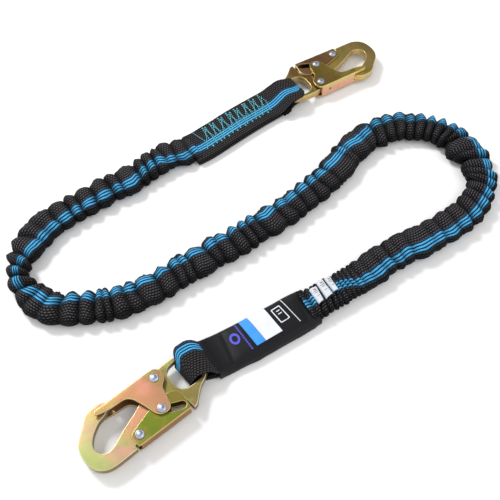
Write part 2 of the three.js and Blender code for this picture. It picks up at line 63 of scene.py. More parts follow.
# x, y of the centre line at each station, before the shift
LINE_POINTS = np.array([
    (-53.8, -167.3), (-8.4, -139.9), (6.8, -130.4), (22.2, -121.0), (37.0, -111.5),
    (52.1, -102.9), (67.1, -94.0), (81.8, -84.7), (96.2, -75.0), (110.3, -64.7),
    (124.7, -54.1), (139.6, -44.0), (155.5, -35.6), (171.3, -26.9), (186.7, -17.7),
    (201.7, -7.7), (214.9, 4.4), (225.4, 18.9), (233.1, 35.1), (236.2, 52.6),
    (234.7, 70.4), (228.2, 87.0), (218.3, 102.0), (204.9, 113.7), (188.6, 120.8),
    (171.0, 124.3), (153.1, 124.1), (136.3, 118.5), (121.7, 108.2), (108.7, 95.8),
    (97.2, 82.0), (87.4, 66.9), (76.6, 52.5), (64.4, 39.3), (51.8, 26.5),
    (38.5, 14.4), (24.8, 2.6), (10.8, -8.6), (-3.9, -19.0), (-18.4, -29.6),
    (-33.0, -40.2), (-48.2, -49.7), (-63.1, -59.9), (-77.4, -70.7), (-92.2, -80.9),
    (-107.4, -90.6), (-123.5, -98.6), (-140.6, -104.1), (-158.3, -107.2), (-176.2, -109.1),
    (-193.9, -108.2), (-209.6, -100.2), (-222.5, -87.7), (-230.9, -72.3), (-231.6, -54.7),
    (-227.8, -37.1), (-220.4, -21.0), (-208.7, -7.4), (-195.2, 4.5), (-180.9, 15.4),
    (-166.8, 26.6), (-152.1, 36.9), (-137.0, 46.7), (-122.5, 57.4), (-109.1, 69.4),
    (-95.0, 80.4), (-78.8, 88.0), (-63.5, 97.2), (-49.6, 108.7), (-36.1, 120.5),
    (-22.4, 132.3), (-4.5, 146.7), (33.3, 174.7)]) + [SHIFT_X, SHIFT_Y]
START_HEADING, END_HEADING = 41 * DEGREE, 35.5 * DEGREE
# x, y of each hook's own origin and its turn in degrees
HOOKS = {"a": (-146.7 + SHIFT_X, -254.3 + SHIFT_Y, 42.9),
         "b": (138.8 + SHIFT_X, 245.9 + SHIFT_Y, 213.8)}


def line_slopes():
    """Slope at every station: the two neighbouring chords weighted by the other's length."""
    spans = np.diff(STATIONS)[:, None]
    chords = np.diff(LINE_POINTS, axis=0) / spans
    slopes = np.zeros_like(LINE_POINTS)
    weighted = chords[:-1] * spans[1:] + chords[1:] * spans[:-1]
    slopes[1:-1] = weighted / (spans[:-1] + spans[1:])
    slopes[0] = math.cos(START_HEADING), math.sin(START_HEADING)
    slopes[-1] = math.cos(END_HEADING), math.sin(END_HEADING)
    return slopes


LINE_SLOPES = line_slopes()


def hermite(t, span, start, end, slope_start, slope_end):
    return ((2 * t**3 - 3 * t**2 + 1) * start + (t**3 - 2 * t**2 + t) * span * slope_start
            + (-2 * t**3 + 3 * t**2) * end + (t**3 - t**2) * span * slope_end)


def unit(vector):
    return vector / np.linalg.norm(vector)


def unit_rows(vectors):
    return vectors / np.linalg.norm(vectors, axis=1)[:, None]


def tangents(path):
    return unit_rows(np.gradient(path, axis=0))


def line(station):
    """Points and unit tangents of the centre line, which runs straight on past its ends."""
    station = np.atleast_1d(np.asarray(station, float))
    i = np.clip(np.searchsorted(STATIONS, station, side="right") - 1, 0, len(STATIONS) - 2)
    span = STATIONS[i + 1] - STATIONS[i]
    fraction = (station - STATIONS[i]) / span
    inside = np.clip(fraction, 0, 1)
    beyond = ((fraction - inside) * span)[:, None]
    t, span = inside[:, None], span[:, None]
    start, end = LINE_POINTS[i], LINE_POINTS[i + 1]
    slope_start, slope_end = LINE_SLOPES[i], LINE_SLOPES[i + 1]
    points = hermite(t, span, start, end, slope_start, slope_end)
    heading = unit_rows((6 * t**2 - 6 * t) / span * start + (3 * t**2 - 4 * t + 1) * slope_start
                        + (-6 * t**2 + 6 * t) / span * end + (3 * t**2 - 2 * t) * slope_end)
    return points + heading * beyond, heading


def lay(x, y, z, origin=0.0, direction=1):
    """Straight web coordinates (x along, y to the left, z up) to metres in the frame.

    x counts from station `origin`; direction -1 runs towards lower stations.
    """
    points, heading = line(origin + direction * np.ravel(x))
    side = direction * np.ravel(y)
    laid = np.stack([points[:, 0] - heading[:, 1] * side,
                     points[:, 1] + heading[:, 0] * side, np.ravel(z)], -1) / 1000
    return laid.reshape(np.shape(x) + (3,))


def line_point(station, ahead=0.0):
    """Point in metres at mid height of the web, moved ahead along the tangent."""
    points, heading = line(station)
    x, y = points[0] + heading[0] * ahead
    return (x / 1000, y / 1000, 10.0 / 1000)


# ------------------------------------------------------------------ number helpers
def cell_value(ix, iy, seed):
    """Repeatable value from -1 to 1 for a whole-number cell."""
    n = (ix.astype(np.int64) * 374761393 + iy.astype(np.int64) * 668265263
         + seed * 974711) & 0xFFFFFFFF
    n = ((n ^ (n >> 13)) * 1274126177) & 0xFFFFFFFF
    return ((n ^ (n >> 16)) & 0xFFFF) / 65535.0 * 2 - 1


def noise(x, y, seed):
    """Smooth value noise from -1 to 1."""
    x, y = np.broadcast_arrays(np.asarray(x, float), np.asarray(y, float))
    ix, iy = np.floor(x), np.floor(y)
    fx, fy = x - ix, y - iy
    fx, fy = fx**3 * (fx * (fx * 6 - 15) + 10), fy**3 * (fy * (fy * 6 - 15) + 10)
    low = cell_value(ix, iy, seed) * (1 - fx) + cell_value(ix + 1, iy, seed) * fx
    high = cell_value(ix, iy + 1, seed) * (1 - fx) + cell_value(ix + 1, iy + 1, seed) * fx
    return low * (1 - fy) + high * fy


def lookup(pairs, at):
    """Straight-line interpolation in a table of (position, value)."""
    pairs = np.array(pairs, float)
    return np.interp(at, pairs[:, 0], pairs[:, 1])


def smooth(start, end, x):
    t = np.clip((x - start) / (end - start), 0, 1)
    return t * t * (3 - 2 * t)


def signed_power(x, power):
    return np.sign(x) * np.abs(x) ** power


# ------------------------------------------------------------------ shader helpers
def lin(rgb, gain=1, lift=0):
    """sRGB 0-255 to linear colour, after a gain and a lift capped at 255."""
    values = [min(255, value * gain + lift) / 255 for value in rgb]
    return tuple(v / 12.92 if v <= 0.04045 else ((v + 0.055) / 1.055) ** 2.4 for v in values)


class Shader:
    """A material with one principled shader, and short calls that add nodes to it."""

    def __init__(self, name):
        self.material = bpy.data.materials.new(name)
        self.material.use_nodes = True
        self.tree = self.material.node_tree
        self.tree.nodes.clear()
        output = self.new("OutputMaterial")
        self.principled = self.new("BsdfPrincipled")
        self.tree.links.new(self.principled.outputs[0], output.inputs[0])

    def new(self, kind):
        return self.tree.nodes.new("ShaderNode" + kind)

    def put(self, socket, value):
        """Links a socket, or sets a number or an RGB tuple."""
        if isinstance(value, bpy.types.NodeSocket):
            self.tree.links.new(value, socket)
        elif isinstance(value, tuple):
            socket.default_value = (*value, 1.0)
        else:
            socket.default_value = value

    def surface(self, inputs):
        for name, value in inputs.items():
            self.put(self.principled.inputs[name], value)
        return self.material

    def math(self, operation, *values, clamp=False):
        node = self.new("Math")
        node.operation, node.use_clamp = operation, clamp
        for socket, value in zip(node.inputs, (*values, 0.0, 0.0)):
            self.put(socket, value)
        return node.outputs[0]

    def add(self, first, second):
        return self.math("ADD", first, second)

    def sub(self, first, second):
        return self.math("SUBTRACT", first, second)

    def mul(self, first, second, clamp=False):
        return self.math("MULTIPLY", first, second, clamp=clamp)

    def div(self, first, second):
        return self.math("DIVIDE", first, second)

    def step(self, value, start, end):
        """0 below start, 1 above end, smooth between."""
        node = self.new("MapRange")
        node.interpolation_type = "SMOOTHSTEP"
        self.put(node.inputs[0], value)
        node.inputs[1].default_value, node.inputs[2].default_value = start, end
        return node.outputs[0]

    def fall(self, value, start, end):
        """1 below start, 0 above end, smooth between."""
        return self.sub(1.0, self.step(value, start, end))

    def window(self, value, rise, fall):
        return self.mul(self.step(value, *rise), self.fall(value, *fall))

    def from_centre(self, value):
        """Distance from the middle of each unit cell."""
        return self.math("ABSOLUTE", self.sub(self.math("FRACT", value), 0.5))

    def bricks(self, x, length, row):
        """Place along each brick from 0 to 1, with every other row set off by half."""
        return self.math("FRACT", self.add(self.div(x, length), self.mul(row, 0.5)))

    def attribute(self, name):
        node = self.new("Attribute")
        node.attribute_name = name
        return node.outputs

    def xyz(self, vector):
        node = self.new("SeparateXYZ")
        self.put(node.inputs[0], vector)
        return node.outputs

    def vector(self, x, y, z):
        node = self.new("CombineXYZ")
        for socket, value in zip(node.inputs, (x, y, z)):
            self.put(socket, value)
        return node.outputs[0]

    def dot(self, vector, constant):
        node = self.new("VectorMath")
        node.operation = "DOT_PRODUCT"
        self.put(node.inputs[0], vector)
        node.inputs[1].default_value = constant
        return node.outputs["Value"]

    def noise(self, vector, scale, detail, rough):
        node = self.new("TexNoise")
        self.put(node.inputs["Vector"], vector)
        node.inputs["Scale"].default_value = scale
        node.inputs["Detail"].default_value = detail
        node.inputs["Roughness"].default_value = rough
        return node.outputs["Fac"]

    def voronoi(self, vector, scale):
        node = self.new("TexVoronoi")
        self.put(node.inputs["Vector"], vector)
        node.inputs["Scale"].default_value = scale
        return node.outputs["Distance"]

    def mix(self, factor, first, second):
        node = self.new("Mix")
        node.data_type = "RGBA"
        for index, value in ((0, factor), (6, first), (7, second)):
            self.put(node.inputs[index], value)
        return node.outputs[2]

    def ramp(self, factor, stops):
        node = self.new("ValToRGB")
        self.put(node.inputs[0], factor)
        elements = node.color_ramp.elements
        while len(elements) < len(stops):
            elements.new(0.5)
        for i, (position, rgb) in enumerate(stops):
            elements[i].position = position
            elements[i].color = lin(rgb) + (1.0,)
        return node.outputs[0]

    def bump(self, height, strength, distance):
        node = self.new("Bump")
        node.inputs["Strength"].default_value = strength
        node.inputs["Distance"].default_value = distance
        self.put(node.inputs["Height"], height)
        return node.outputs[0]

    def object_coords(self):
        return self.new("TexCoord").outputs["Object"]


# ------------------------------------------------------------------ materials
WEB_DARK = (9, 9, 11)
RIB_PITCH, RIB_DASH = 2.55, 2.9        # across and along the fabric
YARN_PITCH = 3.0                       # between the light lines of the tracer band
TOOTH_LENGTH, TOOTH_ROW = 1.5, 0.75    # woven breaks of the tracer band


def web_material(name, grey):
    """Black ribbed webbing with a blue tracer band.

    Attribute wv: x along the fabric, y across from the band, z crease shade.
    """
    mat = Shader(name)
    x, y, shade = mat.xyz(mat.attribute("wv")["Vector"])
    # short floats along each rib, offset from rib to rib
    rib = mat.div(y, RIB_PITCH)
    row = mat.math("FLOOR", rib)
    off_rib = mat.from_centre(rib)
    on_rib = mat.fall(off_rib, 0.10, 0.26)
    dash = mat.window(mat.bricks(x, RIB_DASH, row), (0.08, 0.24), (0.72, 0.90))
    fuzz = mat.noise(mat.vector(x, y, 0.0), scale=0.9, detail=4.0, rough=0.7)
    wide = mat.noise(mat.vector(x, mat.mul(y, 2.0), 7.0), scale=0.05, detail=2.0, rough=0.5)
    greyness = mat.mul(mat.mul(on_rib, dash), mat.add(0.55, mat.mul(fuzz, 0.7)))
    base = mat.mix(fuzz, lin(WEB_DARK, 0.72), lin(WEB_DARK, 1.25))
    colour = mat.mix(mat.mul(greyness, 0.9, clamp=True), base, lin(grey))
    height = mat.mul(mat.sub(0.5, off_rib), 1.1)
    height = mat.add(height, mat.mul(dash, 0.30))

    # light blue yarn lines on navy, with woven breaks
    in_band = mat.fall(mat.math("ABSOLUTE", y), 5.0, 5.5)
    on_yarn = mat.fall(mat.from_centre(mat.add(mat.div(y, YARN_PITCH), 0.5)), 0.22, 0.33)
    tooth_row = mat.math("FLOOR", mat.div(y, TOOTH_ROW))
    tooth = mat.window(mat.bricks(x, TOOTH_LENGTH, tooth_row), (0.05, 0.25), (0.72, 0.95))
    light = mat.mix(mat.mul(tooth, mat.add(0.6, mat.mul(fuzz, 0.5))),
                    lin((12, 88, 158)), lin((98, 206, 252)))
    navy = mat.mix(tooth, lin((3, 9, 22)), lin((5, 32, 70)))
    colour = mat.mix(in_band, colour, mat.mix(on_yarn, navy, light))
    height = mat.add(height, mat.mul(mat.mul(in_band, on_yarn), 0.45))
    height = mat.add(height, mat.mul(mat.mul(in_band, tooth), 0.25))

    # faint wide patches, then darkness in the creases
    colour = mat.mix(mat.mul(wide, 0.08), colour, lin((70, 68, 68)))
    colour = mat.mix(mat.mul(shade, 0.93, clamp=True), colour, lin((3, 3, 4)))
    return mat.surface({
        "Base Color": colour,
        "Roughness": mat.add(0.72, mat.mul(fuzz, 0.2)),
        "Specular IOR Level": 0.10,
        "Sheen Weight": 0.02,
        "Sheen Roughness": 0.5,
        "Sheen Tint": (0.7, 0.75, 0.85),
        "Normal": mat.bump(height, strength=0.55, distance=0.0007)})


# per hook: brightness and saturation of the colours, brightness of the painted edge highlights, and
# the height range over which side walls take the painted bend highlight
HOOK_TONES = {
    "a": dict(gain=0.90, saturation=0.96, highlight_gain=0.92,
              bend_highlight_heights=(15.6, 16.6), bend_highlight=(186, 158, 84)),
    "b": dict(gain=1.32, saturation=0.92, highlight_gain=0.86,
              bend_highlight_heights=(12.2, 13.8), bend_highlight=(222, 204, 132))}
HOOK_LENGTH = 131.5
PLATING_DARK = (60, 48, 22)
CLOUD_STRENGTH = 0.5


def toned(rgb, saturation, gain):
    mean = sum(rgb) / 3
    return tuple(min(250, (mean + (value - mean) * saturation) * gain) for value in rgb)


def plated_material(name, letter, stops, edge, rough, pink, green, side):
    """Chromated zinc: colour drifts along the hook under pink and green clouds.

    stops are (fraction of hook length, colour); edge is the painted highlight on the rounded edges,
    side the wall colour with painted light and shade.
    """
    tone = HOOK_TONES[letter]
    saturation = tone["saturation"]
    stops = [(at, toned(rgb, saturation, tone["gain"])) for at, rgb in stops]
    edge = toned(edge, saturation, tone["highlight_gain"])
    mat = Shader(name)
    hook_x, hook_y, angle = HOOKS[letter]
    cos, sin = math.cos(angle * DEGREE), math.sin(angle * DEGREE)
    coords = mat.object_coords()
    # the hook's own axes in millimetres
    x = mat.sub(mat.dot(coords, (cos * 1000, sin * 1000, 0)), hook_x * cos + hook_y * sin)
    y = mat.sub(mat.dot(coords, (-sin * 1000, cos * 1000, 0)), -hook_x * sin + hook_y * cos)
    z = mat.xyz(coords)[2]
    place_mm = mat.vector(x, y, mat.mul(z, 1000.0))
    big = mat.noise(place_mm, scale=0.045, detail=2.0, rough=0.5)
    mid = mat.noise(place_mm, scale=0.12, detail=3.0, rough=0.6)
    small = mat.noise(place_mm, scale=0.55, detail=4.0, rough=0.65)
    fine = mat.noise(place_mm, scale=2.6, detail=3.0, rough=0.7)

    drift = mat.add(mat.div(x, HOOK_LENGTH), mat.mul(mat.sub(mid, 0.5), 0.22))
    colour = mat.ramp(mat.add(drift, mat.mul(y, 0.0022)), stops)
    # field, start and end of the cloud, strength, colour
    clouds = ((big, 0.54, 0.74, CLOUD_STRENGTH, pink),
              (mid, 0.52, 0.70, CLOUD_STRENGTH * 0.8, green),
              (small, 0.55, 0.80, 0.22, PLATING_DARK))
    for field, start, end, strength, cloud in clouds:
        colour = mat.mix(mat.mul(mat.step(field, start, end), strength), colour, lin(cloud))

    # walls take the finish's wall colour: painted light and shade, paler or darker than the top
    # faces
    normal_z = mat.xyz(mat.new("NewGeometry").outputs["True Normal"])[2]
    wall = mat.fall(mat.math("ABSOLUTE", normal_z), 0.25, 0.6)
    wall_light_and_shade = mat.mix(mid, lin(side), lin(side, 1.12))
    # painted highlight on the upper part of the walls, standing in for light on the rounded bends
    bend_highlight_mask = mat.step(mat.mul(z, 1000.0), *tone["bend_highlight_heights"])
    wall_light_and_shade = mat.mix(mat.mul(bend_highlight_mask, 0.85), wall_light_and_shade, lin(tone["bend_highlight"]))
    colour = mat.mix(mat.mul(wall, 0.85), colour, wall_light_and_shade)

    # painted highlight on the sloping faces of the rounded edges, patchy
    edge_highlight = mat.attribute("edge")["Fac"]
    edge_highlight = mat.mul(edge_highlight, mat.add(0.62, mat.mul(small, 0.4)), clamp=True)
    colour = mat.mix(edge_highlight, colour, lin(edge))
    pits = mat.fall(mat.voronoi(place_mm, scale=0.9), 0.0, 0.14)
    colour = mat.mix(mat.mul(pits, 0.30), colour, lin(PLATING_DARK))
    roughness = mat.add(rough, mat.mul(mat.sub(small, 0.5), 0.20))
    grain = mat.add(fine, mat.mul(small, 1.6))
    return mat.surface({
        "Base Color": colour,
        "Metallic": 0.82,
        "Roughness": mat.add(roughness, mat.mul(mat.sub(fine, 0.5), 0.14)),
        "Normal": mat.bump(grain, strength=0.20, distance=0.00025),
        "Coat Weight": 0.12,
        "Coat Roughness": 0.25})


def steel_material(name, colour, rough):
    mat = Shader(name)
    coords = mat.object_coords()
    grain = mat.noise(coords, scale=420.0, detail=4.0, rough=0.6)
    patches = mat.noise(coords, scale=130.0, detail=2.0, rough=0.5)
    base = mat.mix(grain, lin(colour, 0.80), lin(colour))
    return mat.surface({
        "Base Color": mat.mix(mat.mul(patches, 0.5), base, lin((150, 165, 205))),
        "Metallic": 1.0,
        "Roughness": mat.add(rough, mat.mul(grain, 0.16)),
        "Normal": mat.bump(grain, strength=0.25, distance=0.0002)})


def cloth_material(name, colour, weave, rough, sheen, contrast=0.35, specular=0.35):
    """Fine diagonal weave of the given pitch in object space."""
    mat = Shader(name)
    coords = mat.object_coords()
    x, y, _ = mat.xyz(coords)
    frequency = 1000.0 / weave * 3.14159
    rising = mat.math("SINE", mat.mul(mat.add(x, y), frequency))
    falling = mat.math("SINE", mat.mul(mat.sub(x, y), frequency))
    woven = mat.mul(rising, falling)
    grain = mat.noise(coords, scale=900.0, detail=3.0, rough=0.6)
    patches = mat.noise(coords, scale=30.0, detail=3.0, rough=0.5)
    base = mat.mix(mat.mul(grain, contrast * 2), lin(colour, 0.7), lin(colour, 1.25, 4))
    return mat.surface({
        "Base Color": mat.mix(mat.mul(patches, contrast), base, lin(colour, 1.5, 10)),
        "Roughness": mat.add(rough, mat.mul(grain, 0.15)),
        "Specular IOR Level": specular,
        "Sheen Weight": sheen,
        "Normal": mat.bump(mat.add(mat.mul(woven, 0.5), grain), strength=0.3,
                           distance=0.00025)})


def ink_material(name, dark, light, rough, scale):
    """Colour that drifts between two colours, for print, paper and the painted shade in the tag's
    folds.
    """
    mat = Shader(name)
    coords = mat.object_coords()
    patches = mat.noise(coords, scale=scale, detail=3.0, rough=0.6)
    grain = mat.noise(coords, scale=2200.0, detail=2.0, rough=0.6)
    return mat.surface({
        "Base Color": mat.mix(patches, lin(dark), lin(light)),
        "Roughness": mat.add(rough, mat.mul(grain, 0.2)),
        "Normal": mat.bump(mat.add(grain, patches), strength=0.12, distance=0.0002)})


WEB = web_material("ruffled_web", grey=(98, 94, 98))
FLAT_WEB = web_material("flat_web", grey=(84, 80, 82))
PAD_WEB = cloth_material("wear_pad_web", (9, 9, 10), weave=1.4, rough=0.85, sheen=0.0,
                         contrast=0.3, specular=0.08)
COVER = cloth_material("coated_cover", (11, 12, 17), weave=0.9, rough=0.42, sheen=0.0,
                       contrast=0.12, specular=0.22)
CORE = cloth_material("core_yarn", (205, 198, 182), weave=1.6, rough=0.85, sheen=0.3)
THREAD = cloth_material("blue_thread", (84, 186, 214), weave=0.5, rough=0.55, sheen=0.2,
                        contrast=0.3)
WHITE_INK = ink_material("white_print", (212, 215, 221), (226, 228, 233), rough=0.5, scale=120.0)
BLUE_INK = ink_material("blue_print", (38, 132, 226), (58, 156, 240), rough=0.45, scale=150.0)
INDIGO_INK = ink_material("indigo_print", (30, 84, 200), (96, 62, 196), rough=0.45, scale=90.0)
TAG_STOCK = ink_material("tag_stock", (196, 199, 206), (216, 219, 225), rough=0.42, scale=160.0)
# dark faces for the tag's valleys: painted shade between the folded panels
TAG_FOLD_SHADE = ink_material("tag_fold_shade", (34, 36, 44), (58, 60, 70), rough=0.7, scale=200.0)
TAG_INK = ink_material("tag_grid", (60, 62, 68), (92, 94, 100), rough=0.5, scale=200.0)

# side is each finish's wall colour with painted light and shade; edge is the painted highlight on
# the rounded edges
METAL_FINISHES = {
    "zinc_pale": dict(
        letter="a", rough=0.36, edge=(246, 232, 178), side=(112, 98, 60),
        pink=(222, 150, 142), green=(168, 180, 96),
        stops=[(0.0, (176, 186, 110)), (0.08, (190, 188, 122)), (0.16, (206, 166, 138)),
               (0.24, (190, 180, 112)), (0.32, (214, 160, 116)), (0.44, (218, 152, 118)),
               (0.58, (206, 146, 112)), (0.70, (150, 138, 70)), (0.82, (166, 146, 88)),
               (1.0, (178, 164, 100))]),
    "zinc_orange": dict(
        letter="a", rough=0.36, edge=(246, 230, 172), side=(76, 54, 34),
        pink=(214, 142, 124), green=(160, 156, 84),
        stops=[(0.22, (168, 146, 84)), (0.34, (190, 156, 96)), (0.48, (206, 150, 102)),
               (0.60, (204, 146, 108)), (0.72, (178, 140, 92)), (0.80, (160, 132, 80))]),
    "zinc_olive": dict(
        letter="a", rough=0.36, edge=(236, 216, 140), side=(150, 90, 42),
        pink=(176, 128, 70), green=(112, 132, 30), cloud_strength=0.55,
        stops=[(0.30, (150, 140, 60)), (0.40, (120, 136, 34)), (0.52, (130, 144, 40)),
               (0.64, (142, 132, 50)), (0.74, (156, 128, 62))]),
    "bronze_body": dict(
        letter="b", rough=0.32, edge=(240, 222, 140), side=(196, 166, 110),
        pink=(146, 108, 76), green=(118, 116, 50),
        stops=[(0.0, (110, 92, 52)), (0.12, (132, 110, 60)), (0.26, (124, 108, 54)),
               (0.42, (142, 122, 60)), (0.60, (112, 96, 44)), (0.74, (100, 72, 44)),
               (0.88, (120, 110, 58)), (1.0, (134, 122, 72))]),
    "bronze_gate": dict(
        letter="b", rough=0.30, edge=(244, 222, 120), side=(236, 176, 152),
        pink=(150, 112, 62), green=(92, 88, 28),
        stops=[(0.24, (150, 132, 62)), (0.40, (140, 120, 54)), (0.52, (112, 94, 38)),
               (0.62, (96, 84, 30)), (0.74, (108, 86, 44))]),
    "bronze_lever": dict(
        letter="b", rough=0.32, edge=(220, 192, 120), side=(92, 62, 36),
        pink=(128, 80, 62), green=(84, 72, 34),
        stops=[(0.30, (116, 88, 50)), (0.42, (104, 74, 44)), (0.56, (92, 62, 40)),
               (0.70, (110, 82, 56))])}


def plated_metals():
    """All plated materials by name, each with its own strength of clouds."""
    global CLOUD_STRENGTH
    usual = CLOUD_STRENGTH
    metals = {}
    for name, finish in METAL_FINISHES.items():
        finish = dict(finish)
        CLOUD_STRENGTH = finish.pop("cloud_strength", usual)
        metals[name] = plated_material(name, **finish)
    return metals


METALS = plated_metals()
RIVET_STEEL = steel_material("bright_zinc", (196, 202, 214), rough=0.26)
SPRING_STEEL = steel_material("spring_steel", (150, 148, 146), rough=0.35)


# ------------------------------------------------------------------ mesh helpers
def face_outward(mesh, weld=False):
    work = bmesh.new()
    work.from_mesh(mesh)
    if weld:
        bmesh.ops.remove_doubles(work, verts=work.verts, dist=1e-4)
    bmesh.ops.recalc_face_normals(work, faces=work.faces)
    work.to_mesh(mesh)
    work.free()


def raw_mesh(name, verts, faces):
    mesh = bpy.data.meshes.new(name)
    mesh.from_pydata([tuple(vert) for vert in np.asarray(verts, float)], [], faces)
    return mesh


def solid(verts, faces, weld=False):
    """Temporary mesh in millimetres with its faces turned outwards."""
    mesh = raw_mesh("tmp", verts, faces)
    face_outward(mesh, weld)
    return mesh


def make(name, verts, faces, material, smooth_shade=True, fabric=None):
    """Object in metres; fabric holds one wv value for each face corner."""
    mesh = raw_mesh(name, verts, faces)
    mesh.validate()
    mesh.update()
    if fabric is not None:
        attribute = mesh.attributes.new("wv", "FLOAT_VECTOR", "CORNER")
        attribute.data.foreach_set("vector", np.asarray(fabric, np.float32).ravel())
    if smooth_shade:
        mesh.polygons.foreach_set("use_smooth", [True] * len(mesh.polygons))
    made = bpy.data.objects.new(name, mesh)
    scene.collection.objects.link(made)
    mesh.materials.append(material)
    face_outward(mesh)
    return made


def bind(made, body, node=None):
    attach(made, body)
    if node:
        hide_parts(node)


def tube_faces(rings, around, start=0, caps=True, flip=False):
    """Quads between closed rings of vertices, then the two end faces."""
    quads = []
    for i in range(rings - 1):
        low = start + i * around
        high = low + around
        for j in range(around):
            k = (j + 1) % around
            quads.append((low + j, low + k, high + k, high + j))
    first = tuple(range(start, start + around))
    last = start + (rings - 1) * around
    ends = [first[::-1], tuple(range(last, last + around))] if caps else []
    if flip:
        quads = [(a, d, c, b) for a, b, c, d in quads]
        ends = [end[::-1] for end in ends]
    return quads + ends


def sheet(top, bottom):
    """Vertices and faces of a closed sheet between two equal grids of points."""
    rows, columns = top.shape[:2]
    count = rows * columns
    faces = []
    for i in range(rows - 1):
        for j in range(columns - 1):
            a = i * columns + j
            b = a + columns
            faces.append((a, b, b + 1, a + 1))
            faces.append((count + a, count + a + 1, count + b + 1, count + b))
    rim = [i * columns for i in range(rows)]
    rim += [(rows - 1) * columns + j for j in range(1, columns)]
    rim += [i * columns + columns - 1 for i in range(rows - 2, -1, -1)]
    rim += list(range(columns - 2, 0, -1))
    for a, b in zip(rim, rim[1:] + rim[:1]):
        faces.append((a, count + a, count + b, b))
    return np.concatenate([top.reshape(-1, 3), bottom.reshape(-1, 3)]), faces


def merge(parts):
    """Joins (vertices, faces) pairs into one."""
    verts, faces, offset = [], [], 0
    for part_verts, part_faces in parts:
        verts.append(part_verts)
        faces += [tuple(index + offset for index in face) for face in part_faces]
        offset += len(part_verts)
    return np.concatenate(verts), faces


def bilinear(corners, u, v):
    """Station and side inside a four-cornered field; u runs from corner 0 to corner 1."""
    weights = ((1 - u) * (1 - v), u * (1 - v), u * v, (1 - u) * v)
    return [sum(weight * corner[axis] for weight, corner in zip(weights, corners))
            for axis in (0, 1)]


def evaluated_mesh(source):
    bpy.context.view_layer.update()
    graph = bpy.context.evaluated_depsgraph_get()
    return bpy.data.meshes.new_from_object(source.evaluated_get(graph))


SHARPEST_BEND = 38.0                   # degrees; sharper turns stay corners


def rounded(points, step):
    """Smooth closed outline through the points, with its sharp corners kept."""
    points = np.array(points, float)
    count = len(points)

    def slope(before, here, after, straight):
        coming, going = here - before, after - here
        cosine = coming @ going / np.linalg.norm(coming) / np.linalg.norm(going)
        if math.degrees(math.acos(np.clip(cosine, -1, 1))) > SHARPEST_BEND:
            return straight
        return unit(after - before)

    outline = []
    for i in range(count):
        before, start, end, after = (points[(i + k) % count] for k in (-1, 0, 1, 2))
        span = np.linalg.norm(end - start)
        straight = (end - start) / span
        slope_start = slope(before, start, end, straight)
        slope_end = slope(start, end, after, straight)
        pieces = max(1, int(round(span / step)))
        for j in range(pieces):
            outline.append(hermite(j / pieces, span, start, end, slope_start, slope_end))
    return np.array(outline)


def circle(centre, radius):
    angle = np.arange(32) / 32 * 2 * math.pi
    return np.stack([centre[0] + radius * np.cos(angle),
                     centre[1] + radius * np.sin(angle)], -1)


def slab(outer, holes, z_low, z_high, bevel, resolution=2):
    """Flat plate with rounded edges."""
    curve = bpy.data.curves.new("tmp", "CURVE")
    curve.dimensions, curve.fill_mode = "2D", "BOTH"
    for loop in [outer, *holes]:
        spline = curve.splines.new("POLY")
        spline.points.add(len(loop) - 1)
        for point, (x, y) in zip(spline.points, loop):
            point.co = (x, y, 0, 1)
        spline.use_cyclic_u = True
    curve.extrude = (z_high - z_low) / 2 - bevel
    curve.bevel_depth, curve.bevel_resolution = bevel, resolution
    curve.offset = -bevel
    holder = bpy.data.objects.new("tmp", curve)
    scene.collection.objects.link(holder)
    mesh = evaluated_mesh(holder)
    bpy.data.objects.remove(holder)
    bpy.data.curves.remove(curve)
    mesh.transform(Matrix.Translation((0, 0, (z_low + z_high) / 2)))
    face_outward(mesh, weld=True)
    return mesh


def prism(path, section):
    """Solid of a (side, z) section swept along a 2D path; side is to the left of travel."""
    path = np.asarray(path, float)
    verts = [(x - heading_y * side, y + heading_x * side, z)
             for (x, y), (heading_x, heading_y) in zip(path, tangents(path))
             for side, z in section]
    return solid(verts, tube_faces(len(path), len(section)))


def boolean(base, others, operation):
    """Joins or cuts meshes with the exact solver."""
    target = bpy.data.objects.new("tmp_base", base)
    scene.collection.objects.link(target)
    tools = []
    for i, mesh in enumerate(others):
        tool = bpy.data.objects.new(f"tmp_{i}", mesh)
        scene.collection.objects.link(tool)
        modifier = target.modifiers.new(f"b{i}", "BOOLEAN")
        modifier.operation, modifier.solver, modifier.object = operation, "EXACT", tool
        tools.append(tool)
    result = evaluated_mesh(target)
    for temporary in tools + [target]:
        bpy.data.objects.remove(temporary)
    return result


# ------------------------------------------------------------------ snap hooks
# Hook frame: x from the hook's nose to its eye, z = 0 at the middle of its thickness.
MID_Z = 10.2
BODY_OUTLINE = [
    (44.8, 25.8), (41, 28.8), (36, 30.4), (32.5, 30.5), (28, 30.2), (22.8, 28.3), (15.3, 21.7),
    (7, 15), (2.6, 9.4), (0.6, 3), (0, -3.3), (0.7, -10), (3.7, -16.7), (10.3, -22),
    (18.7, -23.8), (38.7, -24.5), (39.3, -20.6), (54, -20.2), (60, -16), (66, -9), (70, -7.6),
    (93.5, -7.6), (96.6, -10), (97.6, -29), (101.6, -27.8), (107.2, -23.2), (114.6, -17.6),
    (122.5, -13.8), (128.6, -9.6), (HOOK_LENGTH, -5), (HOOK_LENGTH, 6), (129, 12), (124, 16.8),
    (116, 19.4), (108, 20.6), (96, 20.6), (91.9, 19.6), (89.8, 18.9), (86.4, 19.0),
    (83.6, 17.3), (81.4, 14.4), (78, 12), (62.8, 5), (52, 0.8), (40.3, -3.3), (28.7, -8.3),
    (22.8, -10), (18.7, -9.7), (13.7, -6.7), (11.5, -1.7), (12.8, 3.3), (18.7, 10),
    (27.8, 15.8), (36, 18), (43.5, 21.5)]
